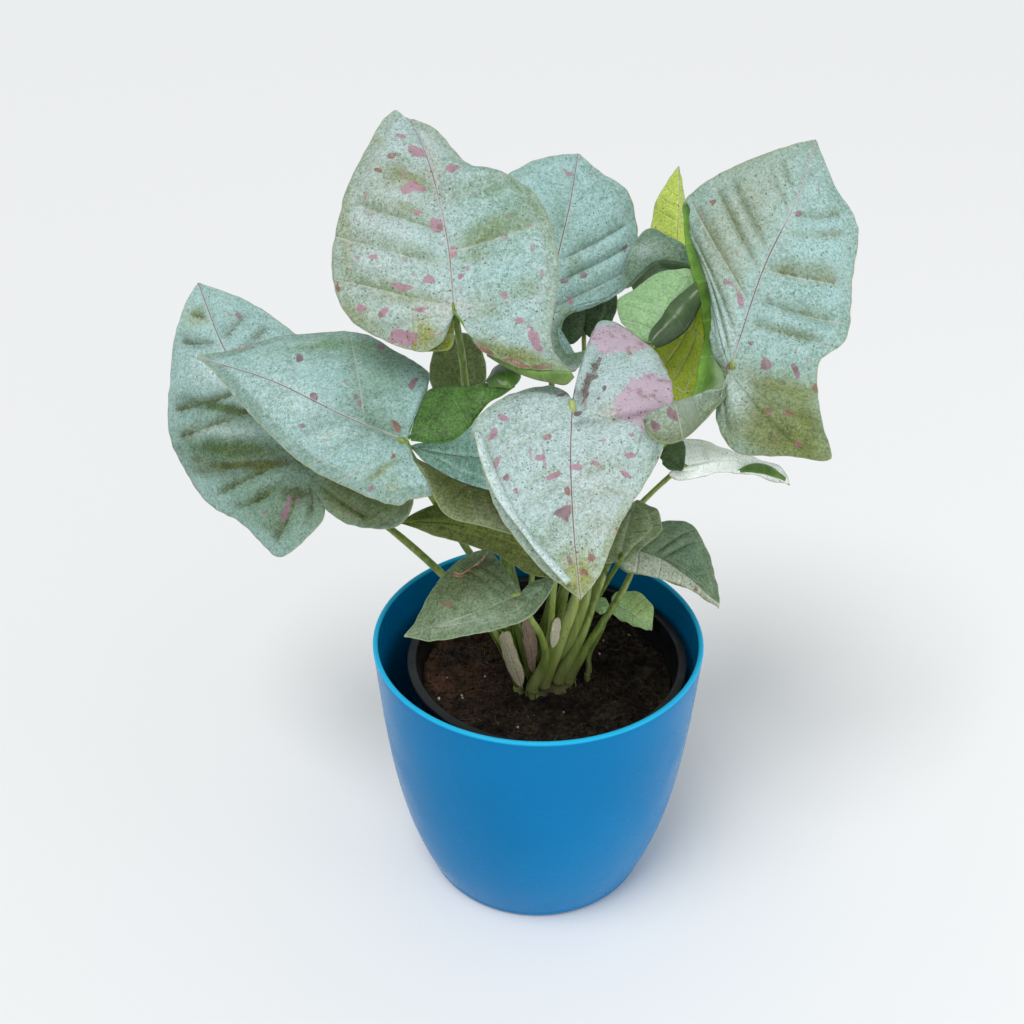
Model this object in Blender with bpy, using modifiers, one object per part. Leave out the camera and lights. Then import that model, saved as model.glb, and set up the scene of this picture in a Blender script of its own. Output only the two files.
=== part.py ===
"""An arrowhead plant in its black nursery pot, standing inside a glossy blue planter.

Lengths are in millimetres and angles in degrees, turned into metres and radians where they are used.
The pot axis is X = Y = 0, the planter stands on Z = 0, and the plant's front faces -Y.
"""
import math

import bmesh
import bpy
from mathutils import Vector

MM = 0.001
GAP = 0.35
WELD = 0.02

PLANTER_RIM_RADIUS = 79.2
PLANTER_HEIGHT = 134
PLANTER_TAPER = 10
PLANTER_BELLY = 14.5
PLANTER_BELLY_POWER = 3.6
PLANTER_WALL = 2.5
PLANTER_CORNER = 4
PLANTER_RINGS = 11
PLANTER_STEPS = 56

NURSERY_CENTRE = (4.5, 2.0)
NURSERY_RIM_RADIUS = 68
NURSERY_BASE_RADIUS = 43
NURSERY_RIM_HEIGHT = 120
NURSERY_WALL = 1.5
NURSERY_LIP = 3
NURSERY_LIP_DEPTH = 4
NURSERY_STEPS = 40

SOIL_HEIGHT = 107
SOIL_RINGS = 6
SOIL_SWELL = 0.9
SOIL_RIPPLE = 0.6
SOIL_MOUND = 24

CROWN_CENTRE = (3.5, -3)
CROWN_RADIUS = 17.5
CROWN_BOTTOM = 109.5
CROWN_TOP = 111.5

# A blade is a shell of rows that follow its side veins. The rib ends at the stalk after this share of
# the rows, and the rest fan out over the lobe. A blade with short lobes has a later end.
BLADE_THICKNESS = 0.8
BLADE_ROWS = 16
BLADE_COLUMNS = 2
BLADE_PUFF = 0.07
LOBE_SHARE = 0.62
SHORT_LOBE = 8
SHORT_LOBE_SHARE = 0.85

STALK_RISE = 3
TUBE_STEPS = 4
CURVE_STEPS = 12
RIB_SAMPLES = 4
STRAND_THICKNESS = 1.6

# Each leaf blade: the point where its stalk joins it, the way its upper face looks (degrees turned to
# the right, degrees above level), how far its tip is turned to the right of straight up, and its
# outline. Outline points are (across, along, lift off the flat) from the tip round each side and its
# lobe to the stalk. The rib's points lie between the tip and the stalk.
BLADES = {
    "top_left": {
        "base": (-36, -12, 305.5),
        "faces": (-6, 42),
        "turn": -17,
        "tip": (0, 92, -9),
        "rib": [(4, 63, 0), (4, 30, 2)],
        "left": [
            (-6, 98, -10), (-19, 86, -3), (-34, 60, 0), (-45, 34, -2),
            (-44, 12, -3), (-32, -2, -4), (-18, -12, -3), (-8, -11, 1),
        ],
        "right": [
            (11, 79, -5), (23, 61, -2), (36, 50, -1), (47, 31, -3), (45, 12, -4),
            (35, -22, -2), (40, -38, 2), (21, -31, 5), (6, -18, 5),
        ],
    },
    "top_back": {
        "base": (4.5, 58, 275.5),
        "faces": (10, 22),
        "turn": 15,
        "tip": (0, 73, -4),
        "rib": [(0, 49, 0), (-1, 23, 1)],
        "left": [
            (-15, 68, -3), (-31, 56, -2), (-38, 37, -3), (-34, 17, -3), (-21, -1, -2),
            (3, -18, 0), (15, -25, 2), (18, -20, 3), (9, -14, 1),
        ],
        "right": [(12, 67, -3), (27, 60, -3), (36, 41, -4), (37, 23, -3), (28, 12, 0), (14, 3, 1)],
    },
    "top_right": {
        "base": (81.5, 8, 269.5),
        "faces": (-14, 38),
        "turn": 12,
        "tip": (0, 112, -8),
        "rib": [(2, 81, 0), (-1, 46, 2)],
        "left": [
            (-16, 100, -3), (-33, 84, -2), (-45, 68, -4), (-40, 57, -5), (-24, 39, -5), (-15, 21, -4),
            (-14, -3, -2), (-27, -33, 10), (-18, -41, 14), (-5, -32, 14), (0, -16, 8),
        ],
        "right": [
            (14, 95, -6), (30, 80, -8), (36, 56, -8), (42, 31, -7), (35, 16, -4), (41, -2, -2),
            (53, -22, 2), (35, -28, 3), (15, -33, 2), (2, -22, 1), (0, -10, 1),
        ],
    },
    "far_left": {
        "base": (-107, 18, 216),
        "faces": (-22, 34),
        "turn": -47,
        "tip": (0, 112, -7),
        "rib": [(-4, 71, 0), (-3, 30, 1)],
        "left": [
            (-15, 102, -4), (-35, 84, -4), (-53, 56, -5), (-54, 22, -4),
            (-42, -3, -1), (-34, -27, 3), (-18, -29, 4), (-2, -23, 4),
        ],
        "right": [
            (16, 88, -4), (28, 59, -4), (36, 25, -3), (37, -7, -2),
            (37, -39, 0), (23, -50, 2), (4, -36, 4), (-3, -18, 3),
        ],
    },
    "left_front": {
        "base": (-56, -34, 257.5),
        "faces": (-12, 66),
        "turn": -70,
        "tip": (0, 114, -6),
        "rib": [(1, 71, 0), (-1, 32, 1)],
        "left": [
            (-7, 93, -4), (-19, 63, -4), (-28, 27, -4), (-29, -2, -4), (-17, -23, -5),
            (-17, -46, -9), (-13, -55, -10), (-7, -40, -6), (-4, -12, -2),
        ],
        "right": [
            (13, 98, -4), (31, 78, -3), (43, 52, -3), (41, 28, -2), (28, 9, -1),
            (37, -9, 2), (50, -24, 8), (39, -28, 8), (24, -20, 4), (7, -16, 2),
        ],
    },
    "mid_small": {
        "base": (-14, -6, 234),
        "faces": (0, 50),
        "turn": -83,
        "tip": (0, 44, 0),
        "rib": [(-2, 21, 1)],
        "left": [(-7, 34, -1), (-13, 21, -1), (-16, 7, -1), (-10, -3, 0)],
        "right": [(6, 34, -1), (14, 19, -1), (16, 3, -1), (9, -4, 0)],
    },
    "front": {
        "base": (12, -32, 275),
        "faces": (4, 57),
        "turn": -178,
        "tip": (0, 84, -6),
        "rib": [(2, 58, 1), (2, 28, 2)],
        "left": [
            (-8, 74, -4), (-18, 51, -4), (-33, 26, -4), (-42, 0, -3),
            (-41, -29, -16), (-31, -47, -22), (-17, -54, -22), (-6, -25, -9),
        ],
        "right": [
            (7, 79, -4), (19, 67, -3), (32, 45, -4), (39, 17, -5),
            (40, 6, -5), (27, -5, -4), (11, -10, -3), (3, -6, -1),
        ],
    },
    "backlit": {
        "base": (81, 40, 263.5),
        "faces": (25, 40),
        "turn": -45,
        "tip": (0, 38, -4),
        "rib": [(2, 20, 0)],
        "left": [(-15, 34, -3), (-27, 20, -4), (-31, 5, -4), (-22, -3, -2), (-9, -4, 0)],
        "right": [(15, 34, -3), (23, 20, -3), (17, 5, -1)],
    },
    "upright": {
        "base": (65, 88, 281),
        "faces": (-22, 24),
        "turn": -8,
        "tip": (0, 52, -2),
        "rib": [(1, 33, 0), (1, 17, 1)],
        "left": [(-6, 43, 0), (-11, 32, 0), (-12, 17, 0), (-9, 3, 0)],
        "right": [(2, 38, -8), (5, 25, -12), (6, 12, -10), (5, 2, -4)],
    },
    "grey_back": {
        "base": (72.5, 66, 296.5),
        "faces": (6, 44),
        "turn": -105,
        "tip": (0, 34, -6),
        "rib": [(5, 16, 1)],
        "left": [(0, 21, -10), (-1, 11, -10), (-4, 5, -2)],
        "right": [(11, 30, -4), (20, 22, -2), (22, 14, 0), (14, 7, 1), (7, 1, 1)],
    },
    "young_roll": {
        "base": (49.5, 22, 276.5),
        "faces": (-18, 50),
        "turn": 12,
        "tip": (0, 41, -4),
        "rib": [(0, 18, 2)],
        "left": [(-12, 35, -3), (-19, 25, -4), (-25, 16, -5), (-19, 6, -3), (-8, 0, -1)],
        "right": [(6, 36, -8), (8, 28, -10), (6, 13, -8), (3, 1, -3)],
    },
    "back_under": {
        "base": (23, 92, 250),
        "faces": (0, 4),
        "turn": 4,
        "tip": (0, 33, 0),
        "rib": [(0, 17, 0)],
        "left": [(-8, 25, 0), (-14, 12, 0), (-13, -4, 2), (-5, -6, 2)],
        "right": [(9, 27, 0), (15, 16, 0), (12, 4, 2), (6, -3, 2)],
    },
    "right_low": {
        "base": (68, 40, 203.5),
        "faces": (30, 64),
        "turn": 116,
        "tip": (0, 58, -4),
        "rib": [(-6, 28, 2)],
        "left": [(-9, 52, -1), (-11, 37, 1), (-15, 19, 2), (-18, 6, 0), (-14, -7, 1), (-3, -6, 1)],
        "right": [(-2, 47, -4), (-3, 29, -3), (0, 14, -4), (7, 2, -1), (5, -6, 0)],
    },
    "right_lower": {
        "base": (48.5, 14, 171),
        "faces": (35, 58),
        "turn": 144,
        "tip": (0, 47, -8),
        "rib": [(-4, 32, -2), (-5, 16, 0)],
        "left": [(-12, 41, -6), (-24, 30, -3), (-31, 18, -1), (-24, 4, 0), (-14, 0, -1), (-3, -2, -1)],
        "right": [(3, 31, -2), (8, 11, 0), (14, -5, 0), (11, -11, 0), (5, -7, 0)],
    },
    "inner_small": {
        "base": (37, -6, 180),
        "faces": (8, 50),
        "turn": 23,
        "tip": (0, 32, -2),
        "rib": [(-1, 15, 0)],
        "left": [(-7, 22, -1), (-10, 8, -1), (-7, -3, 0)],
        "right": [(10, 30, -1), (15, 21, -2), (9, 11, -1), (5, 2, 0)],
    },
    "low_left": {
        "base": (-9, -50, 192.5),
        "faces": (-14, 60),
        "turn": -119,
        "tip": (0, 53, -4),
        "rib": [(-2, 36, 0), (-2, 16, 1)],
        "left": [(-6, 43, -3), (-10, 21, -3), (-11, 1, -2), (-4, -11, -1), (2, -16, -1), (4, -8, 0)],
        "right": [(4, 47, -2), (20, 31, -1), (26, 16, -1), (25, 7, -1), (11, 2, -1), (4, 0, 0)],
    },
    "low_center": {
        "base": (7, -24, 192.5),
        "faces": (-6, 48),
        "turn": -79,
        "tip": (0, 74, -4),
        "rib": [(5, 50, 0), (3, 24, 1)],
        "left": [(-2, 54, -3), (-3, 30, -3), (-8, 12, -3), (-8, -2, -1), (-2, -5, 0)],
        "right": [(11, 62, -2), (16, 42, -2), (19, 19, -2), (14, 1, -1), (7, -4, 0)],
    },
    "inner_back": {
        "base": (-35.5, 34, 249.5),
        "faces": (-5, 40),
        "turn": -22,
        "tip": (0, 24, 0),
        "rib": [(-1, 13, 0)],
        "left": [(-7, 20, 0), (-13, 9, -1), (-11, 0, 0)],
        "right": [(10, 23, -1), (14, 11, -1), (11, -1, -1), (4, -4, 0)],
    },
    "seedling_leaf": {
        "base": (36, 10, 145),
        "faces": (20, 62),
        "turn": 140,
        "tip": (0, 23, -2),
        "rib": [(0, 11, 1)],
        "left": [(-10, 18, -1), (-14, 9, -1), (-10, 1, -1), (-4, -2, -1)],
        "right": [(3, 17, -1), (5, 8, -1), (4, 2, -1)],
    },
    "seedling_bud": {
        "base": (34.5, 8, 144.5),
        "faces": (-20, 62),
        "turn": -111,
        "tip": (0, 8, -1),
        "rib": [(1, 5, 0)],
        "left": [(-3, 5, -1), (-2, 2, -1)],
        "right": [(5, 6, -1), (5, 2, 0)],
    },
}

# Each stalk: its foot on the crown (x, y), its thickness at the foot and behind the blade, and the
# points (x, y, z) that its curve passes on the way up.
STALKS = {
    "top_left": {
        "foot": (-3.5, -9),
        "thick": (5, 3),
        "via": [(-10, -7, 145), (-20, 16, 188), (-31, 20, 239), (-34, 0, 283)],
    },
    "top_back": {
        "foot": (-1, 5),
        "thick": (4.4, 2.6),
        "via": [(6, 10, 147), (8, 30, 202), (6, 48, 245)],
    },
    "top_right": {
        "foot": (7, -5),
        "thick": (5, 3),
        "via": [(21, -6, 157), (31, 24, 192), (64, 34, 226)],
    },
    "far_left": {
        "foot": (-8.5, -12),
        "thick": (5, 2.8),
        "via": [(-21, -14, 147), (-43, -8, 172), (-68, 6, 189), (-91, 20, 199)],
    },
    "left_front": {
        "foot": (-9, -4.5),
        "thick": (4.4, 2.6),
        "via": [(-19, -1, 154), (-38, 10, 184), (-54, -6, 225)],
    },
    "mid_small": {
        "foot": (-9, 2),
        "thick": (3.4, 2.2),
        "via": [(-4, 4, 151), (-3, 6, 195)],
    },
    "front": {
        "foot": (2.5, -12.5),
        "thick": (5.2, 2.8),
        "via": [(11, -14, 145), (17, -18, 172), (17, -22, 232)],
    },
    "backlit": {
        "foot": (14, 3),
        "thick": (4.2, 2.4),
        "via": [(34, 32, 155), (50, 48, 194)],
    },
    "upright": {
        "foot": (13, 9.5),
        "thick": (3.6, 2.2),
        "via": [(29, 42, 148), (56, 76, 221)],
    },
    "grey_back": {
        "foot": (7.5, 11),
        "thick": (3.6, 2.2),
        "via": [(26, 30, 156), (59, 66, 237), (71, 76, 269)],
    },
    "young_roll": {
        "foot": (7, 4),
        "thick": (3.6, 2.2),
        "via": [(16, 14, 167), (32, 12, 243)],
    },
    "back_under": {
        "foot": (2, 9),
        "thick": (3.6, 2.2),
        "via": [(15, 26, 159), (23, 76, 210)],
    },
    "right_low": {
        "foot": (10, -10.5),
        "thick": (4.4, 2.4),
        "via": [(21, -6, 139), (32, 8, 166), (45, 32, 181)],
    },
    "right_lower": {
        "foot": (15, -8.5),
        "thick": (4.8, 2.6),
        "via": [(25, -8, 136), (40, 2, 158)],
    },
    "inner_small": {
        "foot": (15, -2.5),
        "thick": (3.2, 2),
        "via": [(29, 16, 142)],
    },
    "low_left": {
        "foot": (-2.5, -17),
        "thick": (4, 2.4),
        "via": [(3, -20, 133), (1, -30, 154), (-5, -42, 175)],
    },
    "low_center": {
        "foot": (0, -2),
        "thick": (4, 2.4),
        "via": [(5, -10, 138), (6, -20, 168)],
    },
    "inner_back": {
        "foot": (-6.5, 7.5),
        "thick": (3.4, 2.2),
        "via": [(-9, 12, 145), (-25, 34, 205)],
    },
    "seedling_leaf": {
        "foot": (24.5, -3),
        "thick": (2.6, 1.6),
        "via": [(25, -1, 122), (31, 2, 135)],
    },
}

# Dry sheaths at the feet of the stalks, given in the same way as the blades.
SHEATHS = {
    "sheath_cream": {
        "base": (-8, -20.5, 117.5),
        "faces": (-10, 4),
        "turn": -17,
        "tip": (0, 32, 1),
        "rib": [(0, 20, 1)],
        "left": [(-3, 28, 0), (-4, 17, 0), (-3, 5, 0)],
        "right": [(3, 30, 0), (3, 18, 0), (3, 6, 0)],
    },
    "sheath_brown": {
        "base": (-2, -15.5, 121.5),
        "faces": (6, 14),
        "turn": -9,
        "tip": (0, 29, 0),
        "rib": [(0, 13, 1)],
        "left": [(-2, 21, 0), (-2, 5, 0)],
        "right": [(4, 27, 0), (4, 14, 0), (2, 6, 0)],
    },
    "sheath_inner": {
        "base": (6.5, -22, 142),
        "faces": (20, 14),
        "turn": 14,
        "tip": (0, 15, 0),
        "rib": [(0, 7, 0)],
        "left": [(-2, 13, 0), (-2, 4, 0)],
        "right": [(2, 13, 0), (2, 3, 0)],
    },
}

# The dried strand that lies across the low left leaf.
STRAND = [(-23, -33, 202.5), (-26, -37, 200.3), (-31, -40, 197.6), (-35, -41.5, 196.3), (-38, -40, 196.3)]

COLOURS = {
    "planter": ((0.0, 0.30, 0.66), 0.18),
    "nursery_pot": ((0.010, 0.011, 0.014), 0.45),
    "soil": ((0.040, 0.022, 0.015), 0.95),
    "crown": ((0.16, 0.17, 0.06), 0.7),
    "blade": ((0.42, 0.55, 0.44), 0.5),
    "stalk": ((0.13, 0.26, 0.05), 0.45),
    "sheath": ((0.45, 0.36, 0.24), 0.8),
    "strand": ((0.34, 0.22, 0.14), 0.85),
}

def clear_scene():
    """Remove every object, so the script starts from an empty scene."""
    for item in list(bpy.data.objects):
        bpy.data.objects.remove(item, do_unlink=True)


def plant_collection():
    """The collection that holds the whole plant, made on first use."""
    group = bpy.data.collections.get("arrowhead_plant")
    if group is None:
        group = bpy.data.collections.new("arrowhead_plant")
        bpy.context.scene.collection.children.link(group)
    return group


def material(name, kind):
    """A Principled BSDF material of its own for one sub-part."""
    colour, roughness = COLOURS[kind]
    finish = bpy.data.materials.new(name)
    finish.use_nodes = True
    shader = finish.node_tree.nodes["Principled BSDF"]
    shader.inputs["Base Color"].default_value = (*colour, 1)
    shader.inputs["Roughness"].default_value = roughness
    shader.inputs["Metallic"].default_value = 0
    return finish


def add_object(name, data, kind):
    """Put mesh or curve data into the plant's collection as a named object."""
    item = bpy.data.objects.new(name, data)
    data.materials.append(material(name + "_finish", kind))
    plant_collection().objects.link(item)
    return item


def lathe(name, profile, steps, kind, centre=(0, 0)):
    """A solid of revolution from an open profile that starts and ends on the axis."""
    mesh = bpy.data.meshes.new(name)
    points = [(radius * MM, 0, height * MM) for radius, height in profile]
    edges = [(index, index + 1) for index in range(len(points) - 1)]
    mesh.from_pydata(points, edges, [])
    item = add_object(name, mesh, kind)
    item.location = (centre[0] * MM, centre[1] * MM, 0)
    screw = item.modifiers.new("turn", "SCREW")
    screw.steps = screw.render_steps = steps
    screw.use_smooth_shade = True
    screw.use_merge_vertices = True
    screw.merge_threshold = 0.00005
    return item


def planter_radius(height):
    """Outer radius of the planter's wall at a height: wide at the rim, drawn in towards the base."""
    below = 1 - height / PLANTER_HEIGHT
    return PLANTER_RIM_RADIUS - PLANTER_TAPER * below - PLANTER_BELLY * below ** PLANTER_BELLY_POWER


def corner(radius):
    """The rounded bottom corner of the planter, from its wall down and in to its base."""
    centre = planter_radius(PLANTER_CORNER) - PLANTER_CORNER
    angles = [math.radians(step * 22.5) for step in range(5)]
    return [(centre + radius * math.cos(a), PLANTER_CORNER - radius * math.sin(a)) for a in angles]


def make_planter():
    """Thin-walled blue planter with a rounded rim and a flat base."""
    shares = [(step / PLANTER_RINGS) ** 1.5 for step in range(1, PLANTER_RINGS)]
    heights = [PLANTER_CORNER + (PLANTER_HEIGHT - PLANTER_CORNER) * share for share in shares]
    outer = [(planter_radius(height), height) for height in heights]
    inner = [(radius - PLANTER_WALL, height) for radius, height in outer]
    edge = PLANTER_WALL / 3
    rim = [
        (PLANTER_RIM_RADIUS - PLANTER_WALL, PLANTER_HEIGHT - edge),
        (PLANTER_RIM_RADIUS - PLANTER_WALL + edge, PLANTER_HEIGHT),
        (PLANTER_RIM_RADIUS - edge, PLANTER_HEIGHT),
        (PLANTER_RIM_RADIUS, PLANTER_HEIGHT - edge),
    ]
    inside = [(0, PLANTER_WALL)] + corner(PLANTER_CORNER - PLANTER_WALL)[::-1] + inner
    outside = outer[::-1] + corner(PLANTER_CORNER) + [(0, 0)]
    return lathe("planter", inside + rim + outside, PLANTER_STEPS, "planter")


def nursery_radius(height):
    """Outer radius of the nursery pot's wall at a height: a straight taper."""
    share = (height - PLANTER_WALL) / (NURSERY_RIM_HEIGHT - PLANTER_WALL)
    return NURSERY_BASE_RADIUS + (NURSERY_RIM_RADIUS - NURSERY_LIP - NURSERY_BASE_RADIUS) * share


def make_nursery_pot():
    """Thin black pot with a turned-out lip, standing on the planter's floor."""
    bottom = PLANTER_WALL + GAP
    top = NURSERY_RIM_HEIGHT
    wall_radius = nursery_radius(top)
    edge = NURSERY_WALL / 3
    inside = [
        (0, bottom + NURSERY_WALL),
        (NURSERY_BASE_RADIUS - NURSERY_WALL, bottom + NURSERY_WALL),
        (wall_radius - NURSERY_WALL, top - edge),
        (wall_radius - NURSERY_WALL + edge, top),
    ]
    lip = [
        (NURSERY_RIM_RADIUS - edge, top),
        (NURSERY_RIM_RADIUS, top - edge),
        (NURSERY_RIM_RADIUS, top - NURSERY_LIP_DEPTH),
        (NURSERY_RIM_RADIUS - NURSERY_WALL / 2, top - NURSERY_LIP_DEPTH),
        (NURSERY_RIM_RADIUS - NURSERY_WALL / 2, top - NURSERY_WALL),
        (wall_radius, top - NURSERY_WALL),
    ]
    outside = [(NURSERY_BASE_RADIUS, bottom), (0, bottom)]
    return lathe("nursery_pot", inside + lip + outside, NURSERY_STEPS, "nursery_pot", NURSERY_CENTRE)


def ground(x, y):
    """Height of the soil: gently uneven, drawn up a little to the crown."""
    swell = SOIL_SWELL * math.sin(x / 9 + 1) * math.cos(y / 11)
    ripple = SOIL_RIPPLE * math.sin(x / 4.3 + y / 6.1)
    away = math.hypot(x - CROWN_CENTRE[0], y - CROWN_CENTRE[1])
    near = math.exp(-(away / SOIL_MOUND) ** 4)
    return SOIL_HEIGHT + (swell + ripple) * (1 - near) + (CROWN_BOTTOM - GAP - SOIL_HEIGHT) * near


def soil_ring(bed, height, share):
    """A ring of points round the nursery pot's axis: level at a height, or on the soil's surface."""
    level = SOIL_HEIGHT if height is None else height
    radius = (nursery_radius(level) - NURSERY_WALL - 2 * GAP) * share
    ring = []
    for step in range(NURSERY_STEPS):
        angle = math.tau * step / NURSERY_STEPS
        x = NURSERY_CENTRE[0] + radius * math.cos(angle)
        y = NURSERY_CENTRE[1] + radius * math.sin(angle)
        z = ground(x, y) if height is None else height
        ring.append(bed.verts.new(Vector((x, y, z)) * MM))
    return ring


def make_soil():
    """Potting soil that fills the nursery pot to about a centimetre below its rim."""
    bed = bmesh.new()
    rings = [soil_ring(bed, PLANTER_WALL + 2 * GAP + NURSERY_WALL, 1)]
    rings += [soil_ring(bed, None, 1 - step / SOIL_RINGS) for step in range(SOIL_RINGS)]
    for lower, upper in zip(rings, rings[1:]):
        for step in range(NURSERY_STEPS):
            after = (step + 1) % NURSERY_STEPS
            bed.faces.new((lower[step], lower[after], upper[after], upper[step]))
    bed.faces.new(rings[0][::-1])
    bed.faces.new(rings[-1])
    bmesh.ops.poke(bed, faces=bed.faces[-1:])
    mesh = bpy.data.meshes.new("soil")
    bed.to_mesh(mesh)
    bed.free()
    return add_object("soil", mesh, "soil")


def make_crown():
    """The root crown: a low flat-topped knob on the soil that all the stalks rise from."""
    knob = bmesh.new()
    bmesh.ops.create_uvsphere(knob, u_segments=20, v_segments=10, radius=1)
    for vert in knob.verts:
        x = CROWN_CENTRE[0] + CROWN_RADIUS * vert.co.x
        y = CROWN_CENTRE[1] + CROWN_RADIUS * vert.co.y
        height = min(1, max(vert.co.z, 0) * 2)
        vert.co = (x * MM, y * MM, (CROWN_BOTTOM + (CROWN_TOP - CROWN_BOTTOM) * height) * MM)
    bmesh.ops.dissolve_limit(knob, angle_limit=0.001, verts=knob.verts, edges=knob.edges)
    mesh = bpy.data.meshes.new("crown")
    knob.to_mesh(mesh)
    knob.free()
    return add_object("crown", mesh, "crown")


def axes(faces, turn):
    """Unit vectors across, along and out of a blade from its facing angles and its turn."""
    yaw, pitch = (math.radians(angle) for angle in faces)
    out = Vector((math.sin(yaw) * math.cos(pitch), -math.cos(yaw) * math.cos(pitch), math.sin(pitch)))
    uphill = (Vector((0, 0, 1)) - out * out.z).normalized()
    sideways = uphill.cross(out)
    turn = math.radians(turn)
    along = uphill * math.cos(turn) + sideways * math.sin(turn)
    return along.cross(out), along, out


def smooth_curve(points, count):
    """Points at even steps along a Catmull-Rom curve through the given ones."""
    fine = []
    ends = [2 * points[0] - points[1]] + points + [2 * points[-1] - points[-2]]
    for before, start, end, after in zip(ends, ends[1:], ends[2:], ends[3:]):
        for step in range(CURVE_STEPS):
            t = step / CURVE_STEPS
            fine.append(0.5 * (
                2 * start + (end - before) * t + (2 * before - 5 * start + 4 * end - after) * t ** 2
                + (3 * start - before - 3 * end + after) * t ** 3
            ))
    fine.append(points[-1])
    lengths = [0]
    for start, end in zip(fine, fine[1:]):
        lengths.append(lengths[-1] + (end - start).length)
    even = []
    index = 0
    for step in range(count + 1):
        target = lengths[-1] * step / count
        while index < len(fine) - 2 and lengths[index + 1] < target:
            index += 1
        share = (target - lengths[index]) / (lengths[index + 1] - lengths[index])
        even.append(fine[index].lerp(fine[index + 1], share))
    return even


def half_blade(shape, side, rows, columns):
    """Rows of points over one half of a blade, each row following a side vein from rib to margin."""
    tip = Vector(shape["tip"])
    stalk = Vector((0, 0, 0))
    rib = smooth_curve([tip] + [Vector(point) for point in shape["rib"]] + [stalk], rows * RIB_SAMPLES)
    margin = smooth_curve([tip] + [Vector(point) for point in shape[side]] + [stalk], rows)
    lowest = min(point[1] for point in shape["left"] + shape["right"])
    lobe_share = LOBE_SHARE if lowest < -SHORT_LOBE else SHORT_LOBE_SHARE
    grid = []
    for row, edge in enumerate(margin):
        share = min(1, row / rows / lobe_share)
        start = rib[round(share * rows * RIB_SAMPLES)]
        width = (edge - start).length
        line = []
        for column in range(columns + 1):
            t = column / columns
            point = start.lerp(edge, t)
            point.z += BLADE_PUFF * width * math.sin(math.pi * t)
            line.append(point)
        grid.append(line)
    return grid


def make_blade(name, shape, kind="blade"):
    """One leaf blade: a thin shell over both halves of the outline."""
    across, along, out = axes(shape["faces"], shape["turn"])
    base = Vector(shape["base"])
    shell = bmesh.new()
    for side in ("left", "right"):
        grid = half_blade(shape, side, BLADE_ROWS, BLADE_COLUMNS)
        rows = [
            [shell.verts.new((base + across * p.x + along * p.y + out * p.z) * MM) for p in line]
            for line in grid
        ]
        for upper, lower in zip(rows, rows[1:]):
            for column in range(BLADE_COLUMNS):
                corners = [upper[column], lower[column], lower[column + 1], upper[column + 1]]
                if side == "right":
                    corners.reverse()
                shell.faces.new(corners[::-1])
    bmesh.ops.remove_doubles(shell, verts=shell.verts, dist=WELD * MM)
    bmesh.ops.dissolve_degenerate(shell, edges=shell.edges, dist=WELD * MM)
    mesh = bpy.data.meshes.new(name)
    shell.to_mesh(mesh)
    shell.free()
    for face in mesh.polygons:
        face.use_smooth = True
    item = add_object(name, mesh, kind)
    solid = item.modifiers.new("thickness", "SOLIDIFY")
    solid.thickness = BLADE_THICKNESS * MM
    solid.offset = 0
    return item


def tube(name, places, radii, kind):
    """A capped tube along a smooth curve through the places, with its radius at each one."""
    data = bpy.data.curves.new(name, "CURVE")
    data.dimensions = "3D"
    data.resolution_u = TUBE_STEPS
    data.bevel_resolution = 1
    data.bevel_depth = MM
    data.use_fill_caps = True
    path = data.splines.new("BEZIER")
    path.bezier_points.add(len(places) - 1)
    for point, place, radius in zip(path.bezier_points, places, radii):
        point.co = place * MM
        point.radius = radius
        point.handle_left_type = point.handle_right_type = "AUTO"
    return add_object(name, data, kind)


def make_stalk(name, blade, stalk):
    """A tapered stalk from the crown, or from the soil beside it, to just behind its blade."""
    x, y = stalk["foot"]
    on_crown = math.hypot(x - CROWN_CENTRE[0], y - CROWN_CENTRE[1]) < CROWN_RADIUS
    foot = Vector((x, y, (CROWN_TOP if on_crown else ground(x, y)) + 2 * GAP))
    rise = foot + Vector((0, 0, STALK_RISE))
    base = Vector(blade["base"])
    out = axes(blade["faces"], blade["turn"])[2]
    wide, thin = stalk["thick"]
    arriving = (base - Vector(stalk["via"][-1])).normalized()
    half_width = thin / 2 * math.sqrt(1 - arriving.dot(out) ** 2)
    top = base - out * (half_width + BLADE_THICKNESS / 2 + GAP)
    places = [foot, rise] + [Vector(point) for point in stalk["via"]] + [top]
    radii = [(wide + (thin - wide) * index / (len(places) - 1)) / 2 for index in range(len(places))]
    return tube(name, places, radii, "stalk")


def make_strand():
    """A dried leaf strand lying across a blade, thinner towards both ends."""
    places = [Vector(point) for point in STRAND]
    ends = len(places) - 1
    radii = [STRAND_THICKNESS / 4 * (1 + math.sin(math.pi * index / ends)) for index in range(ends + 1)]
    return tube("dried_strand", places, radii, "strand")


def main():
    """Build the whole potted plant."""
    clear_scene()
    make_planter()
    make_nursery_pot()
    make_soil()
    make_crown()
    for name, blade in BLADES.items():
        make_blade("leaf_" + name, blade)
    for name, stalk in STALKS.items():
        make_stalk("stalk_" + name, BLADES[name], stalk)
    for name, sheath in SHEATHS.items():
        make_blade(name, sheath, "sheath")
    make_strand()


main()
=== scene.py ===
# Arrowhead plant in its nursery pot and blue planter: the looks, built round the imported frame.
# Sizes in the dictionaries are millimetres and degrees. The planter stands on Z = 0 and the plant faces -Y.
import math

import bpy
import numpy as np
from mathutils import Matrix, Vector, noise


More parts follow.
